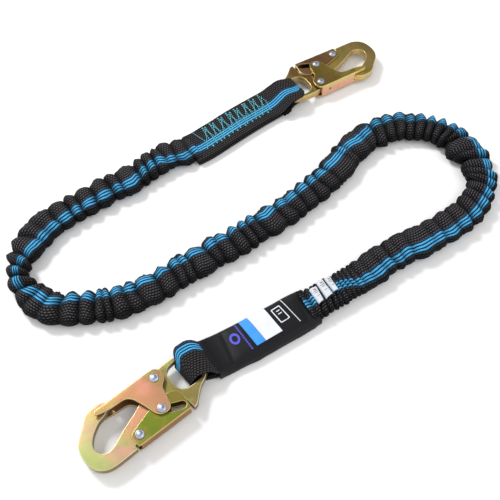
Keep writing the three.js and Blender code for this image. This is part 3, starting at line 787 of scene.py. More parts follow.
EYE_OUTLINE = [
    (98, -1), (98.6, -5), (100.8, -8.6), (104.5, -10.8), (110, -11.6), (118, -11.7),
    (121.6, -11.3), (123, -9.8), (123, 13), (121.8, 15.3), (118, 16.2), (110, 16.6),
    (104.5, 15.8), (100.8, 13.4), (98.6, 9), (98, 5)]
GATE_OUTLINE = [
    (31.4, 25), (60, 23.7), (87, 22.5), (92, 21.7), (95.3, 19), (96.2, 14.2), (94.5, 8.3),
    (88.7, 3.3), (86.2, -5), (83.7, -13.3), (81.4, -16.2), (77.8, -17.4), (72, -15.8),
    (68.7, -11.7), (66.2, -1.7), (63.7, 6.7), (61.2, 12.5), (57, 15.8), (43.7, 17.5),
    (36, 19.1), (30.2, 20.9), (29.4, 22.4)]
LEVER_OUTLINE = [
    (40.6, -24.4), (40.9, -13.8), (43.4, -11.6), (65.3, -5.4), (75, -3.4), (89, -3.4),
    (95, -6.4), (97, -12), (96.5, -20), (95, -27.6)]
NOTCH_OUTLINE = [(79.3, 18), (81.3, 18), (81.3, 28), (79.3, 28)]
LEAF_OUTLINE = [(61.4, -17.2), (70, -18.2), (78.4, -19.3), (78.4, -20.0), (69.9, -18.9),
                (61.2, -17.9)]
GATE_PIVOT, LATCH_PIN, LEVER_PIVOT = (88, 14.2), (75.5, -12), (47.5, -16.8)
BODY_HALF = 4.0
GATE_INNER, GATE_OUTER = 6.4, 8.4      # faces of the gate's side plates, from mid thickness
LEVER_INNER, LEVER_OUTER = 4.3, 6.1
BODY_HOLE, SHEET_HOLE = 2.8, 2.75      # radii
SLOT_HALF = 3.8
# plated parts of each hook: body, gate, lever
HOOK_METALS = {"a": ("zinc_pale", "zinc_orange", "zinc_olive"),
               "b": ("bronze_body", "bronze_gate", "bronze_lever")}


def hook_matrix(letter):
    x, y, angle = HOOKS[letter]
    return (Matrix.Scale(0.001, 4) @ Matrix.Translation((x, y, MID_Z))
            @ Matrix.Rotation(angle * DEGREE, 4, "Z"))


def place(letter, part, mesh, material, body="hook", sharp=60):
    """Moves a part from its hook frame into place; edges sharper than `sharp` degrees stay."""
    mesh.transform(hook_matrix(letter))
    mesh.materials.clear()
    mesh.materials.append(material)
    for polygon in mesh.polygons:
        polygon.use_smooth = True
        polygon.material_index = 0
    node = f"hook_{letter}_{part}"
    mesh.name = node
    mesh.set_sharp_from_angle(angle=sharp * DEGREE)
    made = bpy.data.objects.new(f"{node}_shell", mesh)
    scene.collection.objects.link(made)
    modifier = made.modifiers.new("weight", "WEIGHTED_NORMAL")
    modifier.keep_sharp, modifier.weight, modifier.mode = True, 100, "FACE_AREA"
    # mark the sloping faces of the rounded edges for the painted edge highlight
    normals = np.empty(len(mesh.polygons) * 3)
    mesh.polygons.foreach_get("normal", normals)
    upright = np.abs(normals[2::3])
    sloping = ((upright > 0.12) & (upright < 0.985)).astype(np.float32)
    corners = np.empty(len(mesh.polygons), np.int32)
    mesh.polygons.foreach_get("loop_total", corners)
    attribute = mesh.attributes.new("edge", "FLOAT", "CORNER")
    attribute.data.foreach_set("value", np.repeat(sloping, corners))
    bind(made, f"{body}_{letter}", node)


def turned(point, centre, degrees):
    sin, cos = math.sin(degrees * DEGREE), math.cos(degrees * DEGREE)
    x, y = point[0] - centre[0], point[1] - centre[1]
    return (centre[0] + x * cos - y * sin, centre[1] + x * sin + y * cos)


def slot_outline():
    """Slot along the latch pin's way through the lever: gate and lever turn opposite ways."""
    path = np.array([turned(turned(LATCH_PIN, GATE_PIVOT, angle), LEVER_PIVOT, -angle * 0.25)
                     for angle in np.linspace(-1.5, 31, 9)])
    heading = tangents(path)
    normal = np.stack([-heading[:, 1], heading[:, 0]], -1)

    def cap(centre, across):
        start = math.atan2(across[1], across[0])
        angles = [start - k * math.pi / 8 for k in range(1, 8)]
        return [centre + SLOT_HALF * np.array([math.cos(a), math.sin(a)]) for a in angles]

    left, right = path + normal * SLOT_HALF, (path - normal * SLOT_HALF)[::-1]
    return np.array([*left, *cap(path[-1], normal[-1]), *right, *cap(path[0], -normal[0])])


def rivet_mesh(centre, reach, height):
    """Rivet with a dimpled head above and below; reach is from mid thickness to a head."""
    # radius, share of the head height
    head = [(0, 1), (0.9, 0.99), (1.7, 0.93), (2.35, 0.80), (2.6, 0.70), (2.75, 0.55),
            (2.95, 0.52), (3.3, 0.60), (3.75, 0.52), (4.05, 0.34), (4.24, 0.12), (4.25, 0.0)]
    profile = [(radius, reach + height * share) for radius, share in head]
    profile += [(2.6, reach), (2.6, -reach)]
    profile += [(radius, -reach - height * share) for radius, share in head[::-1]]
    around = 40
    verts = []
    for i, (radius, z) in enumerate(profile):
        for k in range(around):
            angle = k / around * 2 * math.pi
            wobble = 1 + (0.015 * math.sin(3 * angle + i) if radius > 2.7 else 0)
            verts.append((centre[0] + radius * wobble * math.cos(angle),
                          centre[1] + radius * wobble * math.sin(angle), z))
    return solid(verts, tube_faces(len(profile), around, caps=False), weld=True)


def channel(outline, holes, inner, outer, fold, fold_sides, bevel, lip=None):
    """Folded sheet: two side plates joined by a wall along one edge with rounded bends.

    fold_sides are the wall's outer and inner face, measured to the left of the fold path.
    """
    top = slab(outline, holes, inner, outer, bevel)
    bottom = slab(outline, holes, -outer, -inner, bevel)
    radius, reach = 1.9, outer - 0.015
    wall, back = fold_sides
    angles = [k / 5 * math.pi / 2 for k in range(6)]
    section = [(wall - radius + radius * math.sin(a), reach - radius + radius * math.cos(a))
               for a in angles]
    section += [(wall - radius + radius * math.cos(a), -reach + radius - radius * math.sin(a))
                for a in angles]
    section += [(back, -reach + 0.2), (back, reach - 0.2)]
    parts = [bottom, prism(fold, section)]
    if lip is not None:
        # short turned-down lips beyond the fold, one on each plate
        for sign in (1, -1):
            section = [(wall - radius + radius * math.sin(a),
                        sign * (reach - radius + radius * math.cos(a))) for a in angles]
            section += [(wall, sign * (reach - 3.6)), (back, sign * (reach - 3.6)),
                        (back, sign * (reach - 0.2))]
            parts.append(prism(lip, section[::sign]))
    return boolean(top, parts, "UNION")


def body_mesh():
    """Body plate with its eye and two pivot holes."""
    holes = [rounded(EYE_OUTLINE, 1.2), circle(GATE_PIVOT, BODY_HOLE),
             circle(LEVER_PIVOT, BODY_HOLE)]
    return slab(rounded(BODY_OUTLINE, 1.3), holes, -BODY_HALF, BODY_HALF, 0.6)


def gate_mesh():
    """Gate channel, folded along its upper (+y) edge, with one notch in the fold."""
    def edge(start, end, count):
        return [(x, 24.25 - (x - 48.2) * 0.0458) for x in np.linspace(start, end, count)]

    holes = [circle(GATE_PIVOT, SHEET_HOLE), circle(LATCH_PIN, SHEET_HOLE)]
    mesh = channel(rounded(GATE_OUTLINE, 1.2), holes, GATE_INNER, GATE_OUTER,
                   edge(46.4, 91.2, 17), fold_sides=(0.16, -2.1), bevel=0.42,
                   lip=edge(32.2, 46.6, 8))
    return boolean(mesh, [slab(NOTCH_OUTLINE, [], -0.9, 1.6, 0.3, 1)], "DIFFERENCE")


def lever_mesh():
    """Lock lever channel, folded along its lower (-y) edge."""
    edge = [(x, -24.62 - (x - 43.0) * 0.0566) for x in np.linspace(43.0, 94.2, 16)]
    return channel(rounded(LEVER_OUTLINE, 1.2), [circle(LEVER_PIVOT, SHEET_HOLE), slot_outline()],
                   LEVER_INNER, LEVER_OUTER, edge[::-1], fold_sides=(0.12, -1.9), bevel=0.45)


def build_hook(letter):
    plated = (("body", body_mesh, "hook"), ("gate", gate_mesh, "gate"),
              ("lock_lever", lever_mesh, "lever"))
    for (part, build, body), metal in zip(plated, HOOK_METALS[letter]):
        place(letter, part, build(), METALS[metal], body, sharp=40)
    # part, centre, reach, head height, body it rides on
    rivets = (("gate_pivot_rivet", GATE_PIVOT, GATE_OUTER + 0.1, 1.75, "hook"),
              ("latch_pin", LATCH_PIN, GATE_OUTER + 0.1, 1.75, "gate"),
              ("lever_pivot_rivet", LEVER_PIVOT, LEVER_OUTER + 0.1, 1.9, "hook"))
    for part, centre, reach, height, body in rivets:
        place(letter, part, rivet_mesh(centre, reach, height), RIVET_STEEL, body)


for letter in HOOKS:
    build_hook(letter)

# ------------------------------------------------------------------ ruffled jacket
# creases across the web: station, depth, slant (how far the left edge leads), weight on the
# left and on the right edge
CREASES = [
    (139, 3.0, 0, 1, 1), (145, 3.2, 1, .8, 1.2), (151, 3.4, 0, .8, 1.3), (157, 3.4, -1, .8, 1.3),
    (163, 3.6, 0, .9, 1.2), (168.5, 3.2, 1, .9, 1.1), (174, 3.0, 0, 1, 1), (179.5, 3.0, 1, 1, 1),
    (184.5, 2.8, 0, 1, .9), (190, 2.8, 2, 1, .8), (196, 2.2, 1, 1, .7), (208, 1.6, 0, 1, .6),
    (222, 1.6, -2, .4, 1.2), (236, 3.0, 2, 1.2, 1), (247, 1.8, 0, .6, 1.2), (262, 2.0, 1, .6, 1.2),
    (285, 1.6, 0, 1.1, .5), (300, 2.4, 2, 1, 1), (318, 2.6, 4, .8, 1.3), (336, 5.6, 10, 1.5, .9),
    (351, 3.4, 8, .6, 1), (366, 3.8, 8, .7, 1.2), (380, 5.8, 9, 1.6, 1), (389, 3.4, 6, .7, 1.1),
    (399, 3.4, 5, .5, 1.4), (415, 6.0, 7, 1.7, .7), (425, 3.2, 6, .6, .8), (448.5, 6.4, 9, 1.9, .6),
    (456, 3.8, -1, 1.2, .7), (465, 5.8, -2, .9, 1.9), (475.5, 5.6, -1, .9, 1.9),
    (486.5, 5.6, -1, .9, 1.9), (498, 3.8, 1, 1.3, .8), (508, 3.4, 2, 1.3, .7),
    (521, 4.2, 5, 1.3, 1.0), (535, 4.4, 9, 1.4, .5), (550, 5.0, 12, 1.4, 1.2), (566, 2.0, 4, 1, .3),
    (591, 2.6, -2, .8, 1.1), (599, 1.8, 0, .4, 1.3), (628, 3.4, 1, .7, 1.3), (643, 3.6, 3, 1, 1.1),
    (657, 4.2, 5, 1, 1.2), (674, 4.2, 6, 1, 1.3), (689, 2.6, 2, 1.3, .5), (703, 3.8, 3, .9, 1.3),
    (727, 4.4, -2, 1.1, 1.2), (738.5, 4.6, 0, 1.1, 1.3), (749, 4.8, 0, 1.1, 1.4),
    (763, 4.6, 1, 1.1, 1.4), (777, 3.2, 3, 1.4, .5), (789, 4.2, -5, 1, 1.4), (812, 4.2, 1, 1, 1.3),
    (821, 3.0, 1, 1.4, .3), (831.5, 4.4, 0, 1, 1.4), (848.5, 4.2, 1, 1, 1.4), (869, 3.6, 1, .8, 1.3),
    (881, 3.4, 0, 1, 1), (896, 4.4, 1, 1.1, 1.2), (903, 3.0, 0, 1.4, .5), (911, 4.6, 1, 1.2, 1.3),
    (925.5, 4.8, 1, 1.2, 1.4), (943, 3.8, 2, .9, 1.2), (959, 2.6, 1, .8, .8), (974, 2.6, 2, .9, .6),
    (987, 5.0, 4, 1.0, 1.6), (1003, 4.6, 6, 1.2, 1.3), (1014, 5.6, 8, 1.5, 1.2),
    (1027, 5.2, 10, 1.3, 1.2), (1048, 3.0, -4, 1.2, .6), (1063, 1.8, -2, .9, .5),
    (1081, 3.8, 2, .9, 1.1), (1099, 4.6, 1, 1.1, 1.2), (1111, 4.2, 0, 1.1, 1.2),
    (1128, 4.6, 2, 1.1, 1.3), (1147, 4.4, 1, 1, 1.2), (1158, 3.6, 1, 1.2, .8),
    (1181, 5.4, 1, 1.2, 1.3), (1192, 4.4, 8, .9, 1.5), (1203, 4.6, 9, 1.4, .9),
    (1214, 2.8, 0, 1.4, .4), (1228, 3.8, 0, 1.4, .6), (1244, 3.2, 0, .6, 1.6)]
# the tables below are (station, value)
BAND_SIDE = [
    (0, 11), (15, 13), (27, 11), (100, 3), (140, 2), (155, 4), (175, 3), (185, -.5), (192, -5),
    (210, -6), (230, -4), (240, -6.5), (255, -3.7), (270, -5.5), (295, -4), (305, -6),
    (320, -4.5), (330, -4.7), (345, -5.5), (360, -6), (380, -9), (395, -10), (412, -8.5),
    (425, -13), (435, -16), (445, -11), (455, -14), (470, -14), (490, -15), (505, -9),
    (515, -14), (530, -11.5), (545, -11), (555, -7), (575, -5), (590, -8.5), (610, -9),
    (640, -11), (670, -11.5), (690, -10.5), (705, -13), (720, -9.5), (733, -14), (745, -14),
    (755, -16), (765, -12), (775, -14), (790, -10), (805, -13), (815, -10.5), (822, -13),
    (840, -13.5), (848, -10), (862, -13), (875, -10), (887, -14), (897, -11), (905, -13.5),
    (912, -10), (920, -14), (930, -12), (935, -13), (945, -9), (955, -6), (975, -7), (990, 3),
    (1000, 2), (1010, 1), (1020, -4), (1035, -6.5), (1050, -8.5), (1075, -6.5), (1105, -4.5),
    (1125, -4.5), (1145, -5), (1170, -5), (1180, -2), (1195, 0), (1205, 1), (1215, -5),
    (1235, -8), (1250, -4), (1340, -4.4), (1355, -4.2), (1370, -.4), (1390, -3.5)]
HALF_WIDTH = [
    (130, 18.5), (150, 17.5), (190, 17.5), (215, 18.3), (330, 18.3), (400, 17.4), (440, 19.2),
    (470, 19.0), (500, 18.6), (545, 19.5), (580, 18.2), (640, 18.2), (940, 18.6), (975, 17.4),
    (992, 13.8), (1008, 11.8), (1022, 13.6), (1040, 18.6), (1170, 19.2), (1181, 18.6),
    (1192, 17.4), (1205, 18.6), (1232, 19.0), (1250, 20.2), (1262, 20.5)]
HALF_HEIGHT = [
    (130, 6.4), (142, 7.6), (190, 8.4), (215, 8.6), (330, 8.8), (430, 9.8), (540, 9.8),
    (600, 8.8), (650, 9.2), (940, 9.4), (975, 8.6), (1008, 10.4), (1035, 9.6), (1060, 8.6),
    (1100, 9.2), (1185, 9.8), (1225, 9.0), (1240, 6.8), (1250, 4.8), (1256, 4.3)]
MIDDLE_Z = [
    (130, 7.2), (145, 8.6), (205, 9.2), (430, 9.9), (540, 9.9), (600, 9.1), (940, 9.5),
    (1010, 10.4), (1060, 9.0), (1225, 9.2), (1240, 7.2), (1250, 4.9), (1258, 4.4)]
# sideways wander of the web, left positive
WANDER = [
    (130, 0), (200, 0), (425, 0), (436, 2.2), (452, .5), (470, -.4), (530, 1.4), (552, 1.6),
    (572, 0), (975, 0), (1000, 1.5), (1015, 1.2), (1035, .4), (1060, 0), (1183, 0),
    (1200, 1.6), (1221, 1.8), (1235, 0), (1260, 0)]
LEFT_BULGE = [
    (330, 0), (341, 1.2), (352, 0), (364, -1), (380, -2.4), (392, 0), (403, 2.0), (416, -2.2),
    (424, 2), (432, 5.6), (441, 4.2), (449, 0), (462, 2), (475, -1), (500, 2), (512, 0),
    (524, 2.5), (535, 0), (546, 2.6), (556, 0)]
PLEAT_STRENGTH = [(130, .8), (205, .5), (330, .9), (560, 1), (600, .5), (650, 1), (950, 1),
                  (1240, 1), (1258, 0)]
LUMP_STRENGTH = [(130, 1), (1236, 1), (1256, 0)]
FABRIC_HALF = 20.5                     # half the fabric's width on one face
NOMINAL_WIDTH, NOMINAL_HEIGHT = 18.5, 9.2
SIDE_POWER, LEVEL_POWER = 0.74, 0.92   # squareness of the section
OUTER_GAP = 12.0                       # free length beyond the first and last crease


def band_offset(station, top_z):
    """Side of the tracer band, less the shift of a raised face as the camera sees it."""
    points, heading = line(station)
    away = np.hypot(points[:, 0] - CAMERA_AT[0], points[:, 1] - CAMERA_AT[1])
    return lookup(BAND_SIDE, station) - (top_z - 10.0) * away / CAMERA_AT[2] * heading[:, 0]


def crease_fields(station, side):
    """Depth of the creases, their shadow and the pull of the fabric towards them."""
    depth_field, shadow, pull = (np.zeros_like(station) for _ in range(3))
    gaps = [OUTER_GAP, *np.diff([crease[0] for crease in CREASES]), OUTER_GAP]
    for crease, gap_before, gap_after in zip(CREASES, gaps[:-1], gaps[1:]):
        centre, depth, slant, left, right = crease
        x = station - (centre + slant * 0.5 * side)
        lean = 1.2 if 326 < centre < 452 else 1.0
        reach = np.where(x < 0, min(gap_before * 0.62, 10.5) / lean**1.2,
                         min(gap_after * 0.62 * lean, 15.0))
        closeness = np.clip(1 - np.abs(x) / reach, 0, 1)
        weight = 1 + (np.where(side > 0, left, right) - 1) * np.abs(side) ** 1.2
        depth_field = np.maximum(depth_field, 1.62 * depth * closeness**2.5 * weight)
        strength = np.clip(depth * weight / 3.9, 0, 1.15)
        pull += 0.50 * x * np.exp(-(x / 2.8) ** 2) * strength
        core = np.clip(1 - np.abs(x) / np.minimum(reach * 0.72, 5.4), 0, 1) ** 0.95
        shadow = np.maximum(shadow, strength * core)
    return depth_field, shadow, pull


def jacket_field(station, phi):
    """x along, y, z and painted shade of the jacket skin: creases, side walls and darker patches.

    phi is the angle round the section from the left edge over the top.
    """
    sin = np.sin(phi)
    side = signed_power(np.cos(phi), SIDE_POWER)      # 1 left edge, -1 right edge
    level = signed_power(sin, LEVEL_POWER)            # 1 crown, -1 underside
    outness = np.abs(side)
    warp = 1.3 * noise(station / 23, side * 1.3 + 5, 3) + 0.6 * noise(station / 9, side * 2.4, 11)
    crease, shadow, pull = crease_fields(station + warp, side)
    # small partial pleats, stronger towards the edges
    pleats = (np.abs(noise(station / 5.2, side * 1.1 + 9, 21)) * (0.5 + 1.3 * outness**2)
              * lookup(PLEAT_STRENGTH, station))
    lumps = 0.9 * noise(station / 13, side * 1.6, 31) * lookup(LUMP_STRENGTH, station)
    inward = crease * (0.55 + 0.45 * smooth(-0.25, 0.35, sin)) + pleats * 0.9 - lumps

    edge = outness**2.2
    bulge = lookup(LEFT_BULGE, station) * np.clip(side, 0, 1) ** 1.5
    y = lookup(HALF_WIDTH, station) * side - inward * side * edge * 0.95 + bulge
    y = y + lookup(WANDER, station) + 1.5 * noise(station / 9, np.sign(side) * 0.5, 61) * edge

    upper = level > 0
    z = lookup(HALF_HEIGHT, station) * level
    z = z - inward * signed_power(level, 0.8) * np.where(upper, 1.0, 0.42)
    least = (2.8 + 0.5 * np.abs(level)) * np.clip(level * 3, 0, 1)
    z = np.where(upper, np.maximum(z, least), z) + lookup(MIDDLE_Z, station)
    z = np.maximum(z, 0.35 + 0.2 * (noise(station / 7, phi, 51) + 1))    # keeps off the floor

    lean = 0.9 * np.clip(level, 0, 1) * noise(station / 17, 2.0, 41)
    # painted shade towards the side walls of the web, plus darker patches at random
    edge_shade_and_patches = 0.74 * smooth(0.62, 0.96, outness)
    edge_shade_and_patches = edge_shade_and_patches + 0.30 * smooth(0.1, 0.9, noise(station / 15, side * 1.2, 91))
    shadow = 1 - (1 - np.clip(shadow, 0, 1)) * (1 - np.clip(edge_shade_and_patches, 0, 0.8))
    return station + lean - pull, y, z, np.clip(shadow, 0, 1)


def section_angles(across):
    """Angle round the nominal section at fabric coordinates, zero at mid crown, left positive."""
    phi = np.linspace(0, 2 * math.pi, 721)
    y = NOMINAL_WIDTH * signed_power(np.cos(phi), SIDE_POWER)
    z = NOMINAL_HEIGHT * signed_power(np.sin(phi), LEVEL_POWER)
    length = np.concatenate([[0], np.cumsum(np.hypot(np.diff(y), np.diff(z)))])
    quarter = np.interp(math.pi / 2, phi, length)
    return np.interp(-across, -(quarter - length) / quarter * FABRIC_HALF, phi)


def jacket(name, start, end, around=84, step=1.15):
    count = int(round((end - start) / step))
    stations = np.linspace(start, end, count + 1)
    across = np.linspace(FABRIC_HALF, -3 * FABRIC_HALF, around + 1)
    phi = section_angles(across)
    x, y, z, shade = jacket_field(*np.meshgrid(stations, phi[:-1], indexing="ij"))
    laid = lay(x, y, z)
    # mean length of fabric up to each ring
    pieces = np.linalg.norm(np.diff(laid, axis=0), axis=2) * 1000
    length = np.concatenate([[0], np.cumsum(pieces.mean(axis=1))]) + start
    # fabric coordinate of the band, from a smoothed height of the crown
    top_z = np.pad(z[:, np.argmin(np.abs(across[:-1] + 5))], 4, mode="edge")
    top_z = np.convolve(top_z, np.ones(9) / 9, mode="valid")
    band = band_offset(stations, top_z) - lookup(WANDER, stations)
    half = around // 2
    crown_y = NOMINAL_WIDTH * signed_power(np.cos(phi[:half + 1]), SIDE_POWER)
    band = np.interp(-band, -crown_y, across[:half + 1])
    # the lower face mirrors the upper
    folded = np.maximum(across, -2 * FABRIC_HALF - across)[:-1]
    fabric = np.stack([np.broadcast_to(length[:, None], shade.shape),
                       folded[None, :] - band[:, None], shade], -1).reshape(-1, 3)
    faces = tube_faces(count + 1, around, flip=True)
    # the end caps take full painted shade
    corners = np.concatenate([fabric[np.ravel(faces[:-2])], [(0.0, 12.0, 1.0)] * (2 * around)])
    made = make(name, laid.reshape(-1, 3), faces, WEB, fabric=corners)
    return made


# name, first and last station, CAD node, the two bodies, station of the blend between them
# and how far it reaches before and after
JACKETS = (
    ("jacket_near_label", 133, 330, "jacket_end_a", "end_a", "web_right", 188, -20, 20),
    ("jacket_right_turn", 330, 830, "jacket_right", "web_right", "web_mid", 478, -34, 34),
    ("jacket_left_turn", 830, 1130, "jacket_mid", "web_mid", "web_left", 1003, -30, 30),
    ("jacket_near_stitching", 1130, 1252, "jacket_left", "web_left", "end_b", 1246, -16, 6))
for name, start, end, node, body, next_body, blend_at, before, after in JACKETS:
    made = jacket(name, start, end)
    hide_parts(node)
    line_point(blend_at, before)
    line_point(blend_at, after)
    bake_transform(made)


# ------------------------------------------------------------------ flat web round the eyes
# per end: station of the path's origin, direction, stations where the blend starts and ends
ENDS = {"a": (16, 1, 15, 28), "b": (1383, -1, 1384, 1368)}


def strip(name, letter, path, left, right, thick, material, node, slot,
          band=None, ribs=0.10, step=0.62, wave=0.0, seed=0):
    """Flat woven strip along an (x, z) path, laid between its hook and web end.

    left and right are half widths by path length; band gives the tracer band's place.
    """
    origin, direction, blend_start, blend_end = ENDS[letter]
    path = np.asarray(path, float)
    length = path_lengths(path)
    total = length[-1]
    count = int(total / 1.5) + 1
    along = np.linspace(0, total, count)
    path_x, path_z = (np.interp(along, length, path[:, axis]) for axis in (0, 1))
    kernel = np.array([1, 2, 3, 2, 1]) / 9
    for values in (path_x, path_z):
        values[2:-2] = np.convolve(values, kernel, "valid")
    heading_x, heading_z = unit_rows(
        np.stack([np.gradient(path_x), np.gradient(path_z)], -1)).T[:, :, None]

    left, right = lookup(left, along), lookup(right, along)
    widest = max(left) + max(right)
    columns = int(widest / step)
    fraction = np.linspace(0, 1, columns)
    y = -right[:, None] + (left + right)[:, None] * fraction
    across = -FABRIC_HALF + 2 * FABRIC_HALF * fraction
    rim = np.clip(np.minimum(fraction, 1 - fraction) * widest / 0.9, 0, 1)
    half = thick / 2 * np.sqrt(np.clip(1 - (1 - rim) ** 2, 0.05, 1))
    bow = (wave * noise(along[:, None] / 14, y / 9, seed)
           * np.clip(along[:, None] / 12, 0, 1) * np.clip((total - along[:, None]) / 12, 0, 1))
    band_at = np.zeros(count) if band is None else lookup(band, along)
    relief = ribs * np.cos((across - band_at[:, None]) / RIB_PITCH * 2 * math.pi) * rim

    faces_of_strip = []
    for sign in (1, -1):
        offset = sign * (half + relief * 0.5) + bow
        x = path_x[:, None] + heading_z * offset
        z = path_z[:, None] - heading_x * offset
        grid = np.stack([x, y, z, np.broadcast_to(across, y.shape)])
        faces_of_strip.append(grid[:, :, ::sign])
    x, y, z, across = np.concatenate(faces_of_strip, 2)
    around = 2 * columns
    fabric = np.stack([np.broadcast_to(along[:, None], x.shape), across - band_at[:, None],
                       np.zeros_like(x)], -1).reshape(-1, 3)
    faces = tube_faces(count, around, caps=False)
    corners = fabric[np.ravel(faces)]
    for row in (0, count - 1):
        for j in range(columns - 1):
            low, high = row * around + j, row * around + around - 1 - j
            quad = (low, low + 1, high - 1, high)
            faces.append(quad if row else quad[::-1])
    # the end faces take half painted shade
    corners = np.concatenate([corners, [(0, 9.0, 0.5)] * (8 * (columns - 1))])
    laid = lay(x, y, z, origin, direction)
    made = make(name, laid.reshape(-1, 3), faces, material, fabric=corners)
    line_point(blend_start)
    line_point(blend_end)
    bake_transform(made)
    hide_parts(node)


def path_lengths(path):
    pieces = np.linalg.norm(np.diff(path, axis=0), axis=1)
    return np.concatenate([[0], np.cumsum(pieces)])


# (x, z) points: the turn round the bar, then the upper and lower ply of each end
BAR_TURN = [(-7, 18.4), (-10.8, 17.9), (-14.2, 15.9), (-16.0, 12.2), (-16.6, 8.6), (-16.2, 5.2),
            (-14.0, 2.8), (-10.5, 1.7), (-7, 1.5)]
TOP_A = [(-3, 18.4), (0, 18.35), (3, 17.8), (5.5, 16.2), (7.8, 13.5), (10.4, 10.6), (13.5, 8.7),
         (18, 7.4), (24, 6.7), (40, 6.4), (80, 6.4), (118, 6.4)]
BOTTOM_A = [(-3, 1.5), (4, 1.6), (9, 2.4), (17, 3.0), (22, 2.9), (28, 2.8), (60, 2.8), (118, 2.8)]
TOP_B = [(-3, 18.4), (0, 18.35), (3, 17.8), (5.5, 16.4), (8.2, 14.2), (11.5, 11.6), (15.5, 9.6),
         (21, 8.0), (28, 7.1), (40, 6.8), (80, 6.8), (136, 6.8)]
BOTTOM_B = [(-3, 1.5), (4, 1.6), (10, 2.2), (19, 2.4), (26, 1.8), (31, 1.7), (60, 1.6), (136, 1.6)]
LOOP_THICK = 2.5


def loop_path(top, bottom):
    """Path over the bar and back; also its lengths at the turn, the lower ply and the end."""
    path = np.array(top[::-1] + BAR_TURN + bottom, float)
    length = path_lengths(path)
    return path, length[len(top) - 1], length[len(top) + len(BAR_TURN)], length[-1]


def loop_a():
    path, turn, lower, end = loop_path(TOP_A, BOTTOM_A)
    left = [(0, 17.5), (turn - 32, 17.5), (turn - 24, 18.0), (turn - 17, 19.2),
            (turn - 11, 21.8), (turn - 5, 24.0), (turn + 5, 24.4), (turn + 8, 22.6),
            (turn + 11, 18.0), (turn + 13.5, 13.8), (turn + 20, 13.2), (lower, 15.5),
            (lower + 12, 18), (end, 17.5)]
    right = [(0, 17.5), (turn - 32, 17.5), (turn - 24, 18.2), (turn - 17, 18.4),
             (turn - 8, 17.0), (turn, 13.6), (turn + 6, 11.2), (turn + 18, 10.4),
             (lower, 12.5), (lower + 12, 18), (end, 17.5)]
    band = [(0, 11.0), (turn - 34, 11.0), (turn - 12, 12.0), (turn, 12.6), (turn + 12, 12),
            (end, 12)]
    strip("end_loop_a_web", "a", path, left, right, LOOP_THICK, FLAT_WEB, "end_loop_a",
          "loop_web", band=band)


def loop_b():
    path, turn, lower, end = loop_path(TOP_B, BOTTOM_B)
    left = [(0, 20.5), (turn - 40, 20.5), (turn - 18, 20.6), (turn - 6, 22.6),
            (turn + 4, 22.6), (turn + 7, 20.5), (turn + 11, 16.0), (turn + 14, 13.2),
            (turn + 20, 12.6), (lower, 15), (lower + 14, 20.3), (end, 20.5)]
    right = [(0, 20.5), (turn - 40, 20.5), (turn - 18, 19.6), (turn - 6, 16.2),
             (turn + 1, 13.4), (turn + 6, 11.2), (turn + 18, 10.5), (lower, 12.4),
             (lower + 14, 20.3), (end, 20.5)]
    band = [(0, 4.3), (turn - 40, 4.3), (turn - 24, 3.6), (turn - 10, 2.0), (turn + 2, 3.8),
            (turn + 12, 4.0), (end, 3)]
    strip("end_loop_b_web", "b", path, left, right, LOOP_THICK, FLAT_WEB, "end_loop_b",
          "loop_web", band=band, wave=0.25, seed=6)


PAD_TURN_RADIUS = 6.5
PAD_TOPS = {
    "a": [(0, 16.75), (2.5, 16.35), (4.3, 15.15), (6.5, 12.6), (9.25, 9.5), (12.8, 7.2),
          (16.0, 6.1)],
    "b": [(0, 16.75), (2.6, 16.2), (4.55, 15.0), (7.1, 12.85), (10.55, 10.15), (14.9, 7.95),
          (20.0, 6.4)]}
PAD_BOTTOM = [(0, 3.75), (4, 3.7), (9, 4.2), (17, 4.6), (20, 4.5)]


def pad(letter, wide, narrow, wide_in_eye, narrow_in_eye):
    """Wear pad between loop and bar; arguments are half widths outside and inside the eye."""
    top = PAD_TOPS[letter]
    arc = [(-PAD_TURN_RADIUS * math.sin(a), MID_Z + PAD_TURN_RADIUS * math.cos(a))
           for a in np.linspace(0.12, math.pi - 0.12, 15)]
    turn = path_lengths(np.array(top))[-1]
    lower = turn + PAD_TURN_RADIUS * math.pi
    wide_side = [(0, wide - 2), (3, wide), (9, wide), (14, wide * 0.78), (turn - 5, 13.2),
                 (turn, 11.8), (turn + 3.5, wide_in_eye), (lower - 3, wide_in_eye),
                 (lower, wide_in_eye + 0.8), (lower + 9, 15), (lower + 18, wide - 2)]
    narrow_side = [(0, narrow), (12, narrow * 0.9), (turn - 5, 12.6), (turn, 11.4),
                   (turn + 3.5, narrow_in_eye), (lower - 3, narrow_in_eye),
                   (lower, narrow_in_eye + 0.6), (lower + 9, 13.5), (lower + 18, narrow)]
    sides = (narrow_side, wide_side) if letter == "a" else (wide_side, narrow_side)
    strip(f"wear_pad_{letter}_strip", letter, top[::-1] + arc + PAD_BOTTOM, *sides, 0.66,
          PAD_WEB, f"wear_pad_{letter}", "pad_web", ribs=0.04, step=0.9, wave=0.05, seed=8)


loop_a()
loop_b()
pad("a", wide=18.4, narrow=17.0, wide_in_eye=9.4, narrow_in_eye=11.4)
pad("b", wide=26.0, narrow=17.5, wide_in_eye=11.4, narrow_in_eye=9.0)


